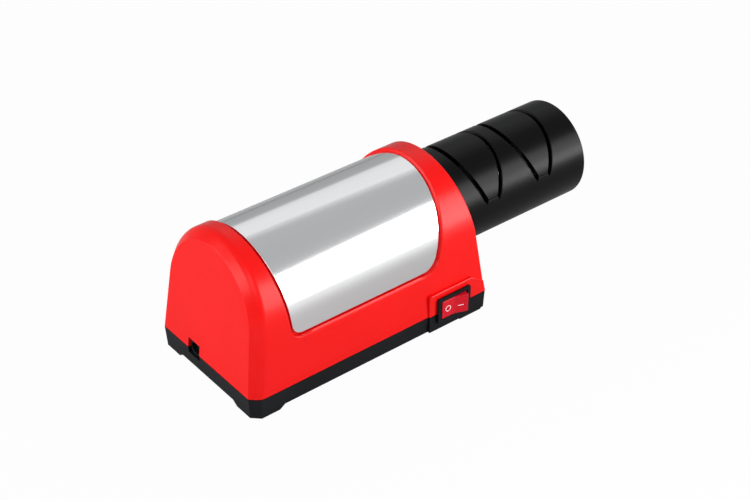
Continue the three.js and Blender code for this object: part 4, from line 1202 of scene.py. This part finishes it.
screw = {
    "shank": 1.5,
    "point": 1.2, "pointShare": 0.5, "pointRound": 0.3,
    "headEdge": 0.25, "headTopShare": 0.86, "headRoundShare": 0.45,
    "slot": 0.8, "slotDepth": 1.1, "slotReachShare": 0.62, "slotFlareShares": (1.2, 0.7),
    "small": {"length": 10.7, "radius": 2.7, "height": 1.8},
    "short": {"length": 7.5, "radius": 2.7, "height": 1.8},
    "large": {"length": 18.0, "radius": 3.0, "height": 2.0},
}
foot = {
    "radius": 5.0,
    "height": 2.2,
    "edgeRounds": (0.5, 0.2),
    "dimple": 2.6, "dimpleDepth": 0.5, "dimpleFlare": 0.5, "dimpleRounds": (0.4, 0.3),
}


def copiesTree():
    # A copy of the piece at each point, turned
    tree, given = startTree("copiesOnPoints", {"Piece": "Object", "Turn": "Vector"})
    piece = pieceIn(tree, given["Piece"])
    return endTree(tree, given, copiesIn(tree, given["Geometry"], piece, Rotation=given["Turn"]))


def screwModel(length, radius, height):
    # Pan head with a cross recess, shank along +X from under the head
    shank, point, turn = screw["shank"], screw["point"], screw["pointRound"]
    model = turned("screwModel", rounded([
        (length, 0, 0),
        (length - point, shank * screw["pointShare"], turn),
        (length - 2 * point, shank, turn),
        (0, shank, 0),
        (0, radius, screw["headEdge"]),
        (-height, radius * screw["headTopShare"], height * screw["headRoundShare"]),
        (-height, 0, 0),
    ], steps=5), steps=48, place=fromOrigin)
    half, reach = screw["slot"] / 2, radius * screw["slotReachShare"]
    top, floor = -height - overrun / 2, -height + screw["slotDepth"]
    for wide, tall in ((half, reach), (reach, half)):
        outline = [(-wide, -tall), (wide, -tall), (wide, tall), (-wide, tall)]
        carve(model, skin("recess", [
            [fromOrigin(x, a * share, b * share) for a, b in outline]
            for x, share in zip((top, floor), screw["slotFlareShares"])
        ]))
    return smooth(model)


def footModel():
    # A disc with a dimple in its underside, height along +X
    edge, top = foot["edgeRounds"]
    deep, rim = foot["dimpleRounds"]
    profile = rounded([
        (foot["dimpleDepth"], 0, 0), (foot["dimpleDepth"], foot["dimple"], deep),
        (0, foot["dimple"] + foot["dimpleFlare"], rim), (0, foot["radius"], edge),
        (foot["height"], foot["radius"], top), (foot["height"], 0, 0),
    ], steps=5)
    return smooth(turned("footModel", profile, steps=64, place=fromOrigin))


def makeCopies(name, model, stem, count, turn, height, slot, tree):
    # Each copy's origin lies on its solid's middle line, a head's height from its outer end
    nodes = numbered(stem, count)
    places = []
    for node in nodes:
        low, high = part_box(node)
        middle = (low + high) / 2
        if turn == "up":
            places.append((middle.x, middle.y, low.z + height * mm))
        elif turn == "down":
            places.append((middle.x, middle.y, high.z - height * mm))
        else:
            places.append((low.x + height * mm, middle.y, middle.z))
    angle = {"up": -math.pi / 2, "down": math.pi / 2, "ahead": 0.0}[turn]
    copies = meshObject(name, places, [])
    runTree(copies, tree, {"Piece": model, "Turn": (0, angle, 0), "Material": materials[slot]})
    finish(copies, "body", slot, *nodes)


def makeFasteners():
    tree = copiesTree()
    models = {kind: screwModel(**screw[kind]) for kind in ("small", "large", "short")}
    models["foot"] = footModel()
    for name, kind, stem, count, turn in (
        ("housingScrews", "large", "housing_screw_", 4, "up"),
        ("cradleScrews", "small", "cradle_screw_", 2, "up"),
        ("strapScrews", "small", "strap_screw_", 2, "down"),
        ("collarScrews", "short", "collar_screw_", 3, "ahead"),
    ):
        makeCopies(name, models[kind], stem, count, turn, screw[kind]["height"], "steel", tree)
    makeCopies("rubberFeet", models["foot"], "rubber_foot_", 4, "up", 0.0, "rubber", tree)
    for model in models.values():
        bpy.data.objects.remove(model)


makeSprings()
makeFasteners()
print("springs, screws and feet made")


# Pin inside the inlet's barrel

pin = {"radius": 1.0, "rounds": (0, 0.6, 0.2, 0)}


def makeInletPin():
    low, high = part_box("inlet_pin")
    left, right = (low.x - originX) / mm, (high.x - originX) / mm
    profile = ringProfile(left, right, 0, pin["radius"], pin["rounds"], steps=5)
    thing = turned("inletPin", profile, steps=40, place=lineThrough(low, high))
    finish(smooth(thing), "body", "brass", "inlet_pin")


makeInletPin()

# The pieces sealed inside keep the frame's meshes and take their finish
for part in frame["record"]["subparts"]:
    thing = frame["nodes"].get(part["node"])
    if thing and part["material_slot"] in materials:
        dress(thing, part["material_slot"])
print("inner pieces dressed")


# Camera at the photograph's view, its place in metres

camera = {
    "place": (-0.445105, -0.540505, 0.529426),
    "azimuth": -38.84,
    "elevation": 35.51,
    "roll": 0.28,
    "lens": 81.56,
    "sensor": 36.0,
    "nearest": 0.01,
}


def makeCamera():
    lens = bpy.data.cameras.new("camera")
    lens.lens = camera["lens"]
    lens.sensor_width = camera["sensor"]
    lens.sensor_fit = "HORIZONTAL"
    lens.clip_start = camera["nearest"]
    viewer = addObject("camera", lens)
    heading = Euler((math.radians(90 - camera["elevation"]), 0, math.radians(camera["azimuth"])))
    roll = Matrix.Rotation(math.radians(camera["roll"]), 4, "Z")
    viewer.matrix_world = Matrix.Translation(camera["place"]) @ heading.to_matrix().to_4x4() @ roll
    bpy.context.scene.camera = viewer


makeCamera()


# Studio, in metres: pale floor and surround, bright boxes in front and at the left end, dim strips behind

studio = {
    # The floor's near and far tones are painted light and painted shade: lighter in front, darker behind
    "floorHalf": 6.0, "floorDrop": 0.02 * mm, "floorPaintedLightNear": (-0.22, "D6D6D6"),
    "floorPaintedShadeFar": (-0.09, "B2B2B2"), "floorCamera": 0.97, "floorMirror": 0.06,
    "surroundCamera": 1.0, "surroundMirror": 0.05,
    "surround": [(0.0, 0.36), (0.35, 0.38), (0.6, 0.455)], "surroundTint": (0.96, 0.98, 1.0),
    "aim": (0.0, 0.0, 0.05),
}

softboxes = {
    "frontSoftbox": {"place": (0.60, -0.87, 0.40), "size": (0.68, 0.73), "radiance": 6.4},
    "headSoftbox": {"place": (0.88, -0.82, 0.16), "size": (0.36, 0.30), "radiance": 9.0},
    "backStrip": {"place": (0.59, 0.65, 0.77), "size": (0.90, 0.56), "radiance": 0.38},
    "backFade": {"place": (0.59, 0.65, 1.27), "size": (1.00, 0.20), "radiance": 0.15},
    "leftSoftbox": {"place": (-0.86, -0.08, 0.54), "size": (0.58, 0.34), "radiance": 3.3},
    "endSoftbox": {"place": (-0.86, 0.27, 0.32), "size": (0.85, 0.60), "radiance": 3.7},
    "fillSoftbox": {"place": (-0.50, -0.65, 0.85), "size": (0.60, 0.60), "radiance": 1.7},
}


def seenMix(tree, plain, kind, cameraShare, mirrorShare):
    # White takes over from the plain shader: to the camera, and in part where metal or glass mirrors it
    rays = addNode(tree, "ShaderNodeLightPath").outputs

    def greater(first, second):
        return addNode(tree, "ShaderNodeMath", links={0: first, 1: second}, operation="MAXIMUM")

    def scaled(source, share):
        return addNode(tree, "ShaderNodeMath", {1: share}, {0: source}, operation="MULTIPLY")

    mirrored = scaled(greater(rays["Is Glossy Ray"], rays["Is Transmission Ray"]), mirrorShare)
    share = greater(mirrored, scaled(rays["Is Camera Ray"], cameraShare))
    white = addNode(tree, kind, {"Color": (1, 1, 1, 1), "Strength": 1.0})
    return addNode(tree, "ShaderNodeMixShader", links={0: share, 1: plain, 2: white})


def paleFloorPaintedDarkerBehind():
    # Matt paper: keeps the shadow, and its glow makes it white to the camera; its colour is painted darker
    # towards the back, painted shade for the light that falls off behind the object
    material = bpy.data.materials.new("paleFloorPaintedDarkerBehind")
    tree = emptyTree(material)
    place = addNode(tree, "ShaderNodeTexCoord").outputs["Object"]
    # Painted shade: the paper's colour darkens from front to back, where less light falls
    depth = addNode(tree, "ShaderNodeSeparateXYZ", links={0: place}).outputs["Y"]
    (nearY, nearColour), (farY, farColour) = studio["floorPaintedLightNear"], studio["floorPaintedShadeFar"]
    back = addNode(tree, "ShaderNodeMapRange", {"From Min": nearY, "From Max": farY}, {"Value": depth})
    tones = colourRamp(tree, back, (nearColour, farColour))
    paper = addNode(tree, "ShaderNodeBsdfDiffuse", links={"Color": tones})
    both = seenMix(tree, paper, "ShaderNodeEmission", studio["floorCamera"], studio["floorMirror"])
    addNode(tree, "ShaderNodeOutputMaterial", links={"Surface": both})
    return material


def makeFloor():
    half, level = studio["floorHalf"], -studio["floorDrop"]
    mesh = bpy.data.meshes.new("floor")
    corners = [(-half, -half, level), (half, -half, level), (half, half, level), (-half, half, level)]
    mesh.from_pydata(corners, [], [(0, 1, 2, 3)])
    mesh.materials.append(paleFloorPaintedDarkerBehind())
    floor = addObject("floor", mesh)


def softbox(name, look):
    lamp = bpy.data.lights.new(name, "AREA")
    lamp.shape = "RECTANGLE"
    lamp.size, lamp.size_y = look["size"]
    # An area lamp's power over its area and pi is the brightness that a mirror shows
    lamp.energy = look["radiance"] * math.pi * lamp.size * lamp.size_y
    thing = addObject(name, lamp)
    thing.location = look["place"]
    thing.rotation_euler = (Vector(studio["aim"]) - Vector(look["place"])).to_track_quat("-Z", "Y").to_euler()
    thing.visible_camera = False


def makeSurround():
    # Grey room that brightens upwards, pale where the camera sees it
    world = bpy.data.worlds.new("studio")
    tree = emptyTree(world)
    direction = addNode(tree, "ShaderNodeTexCoord").outputs["Object"]
    height = addNode(tree, "ShaderNodeSeparateXYZ", links={0: direction}).outputs["Z"]
    ramp = addNode(tree, "ShaderNodeValToRGB", links={"Fac": height})
    for index, (level, strength) in enumerate(studio["surround"]):
        element = ramp.color_ramp.elements[index] if index < 2 else ramp.color_ramp.elements.new(level)
        element.position = level
        element.color = [strength * tint for tint in studio["surroundTint"]] + [1.0]
    grey = addNode(tree, "ShaderNodeBackground", links={"Color": ramp})
    both = seenMix(tree, grey, "ShaderNodeBackground", studio["surroundCamera"], studio["surroundMirror"])
    addNode(tree, "ShaderNodeOutputWorld", links={"Surface": both})
    bpy.context.scene.world = world


makeFloor()
for name, look in softboxes.items():
    softbox(name, look)
makeSurround()
bpy.context.scene.view_settings.view_transform = "Standard"
print("studio set")
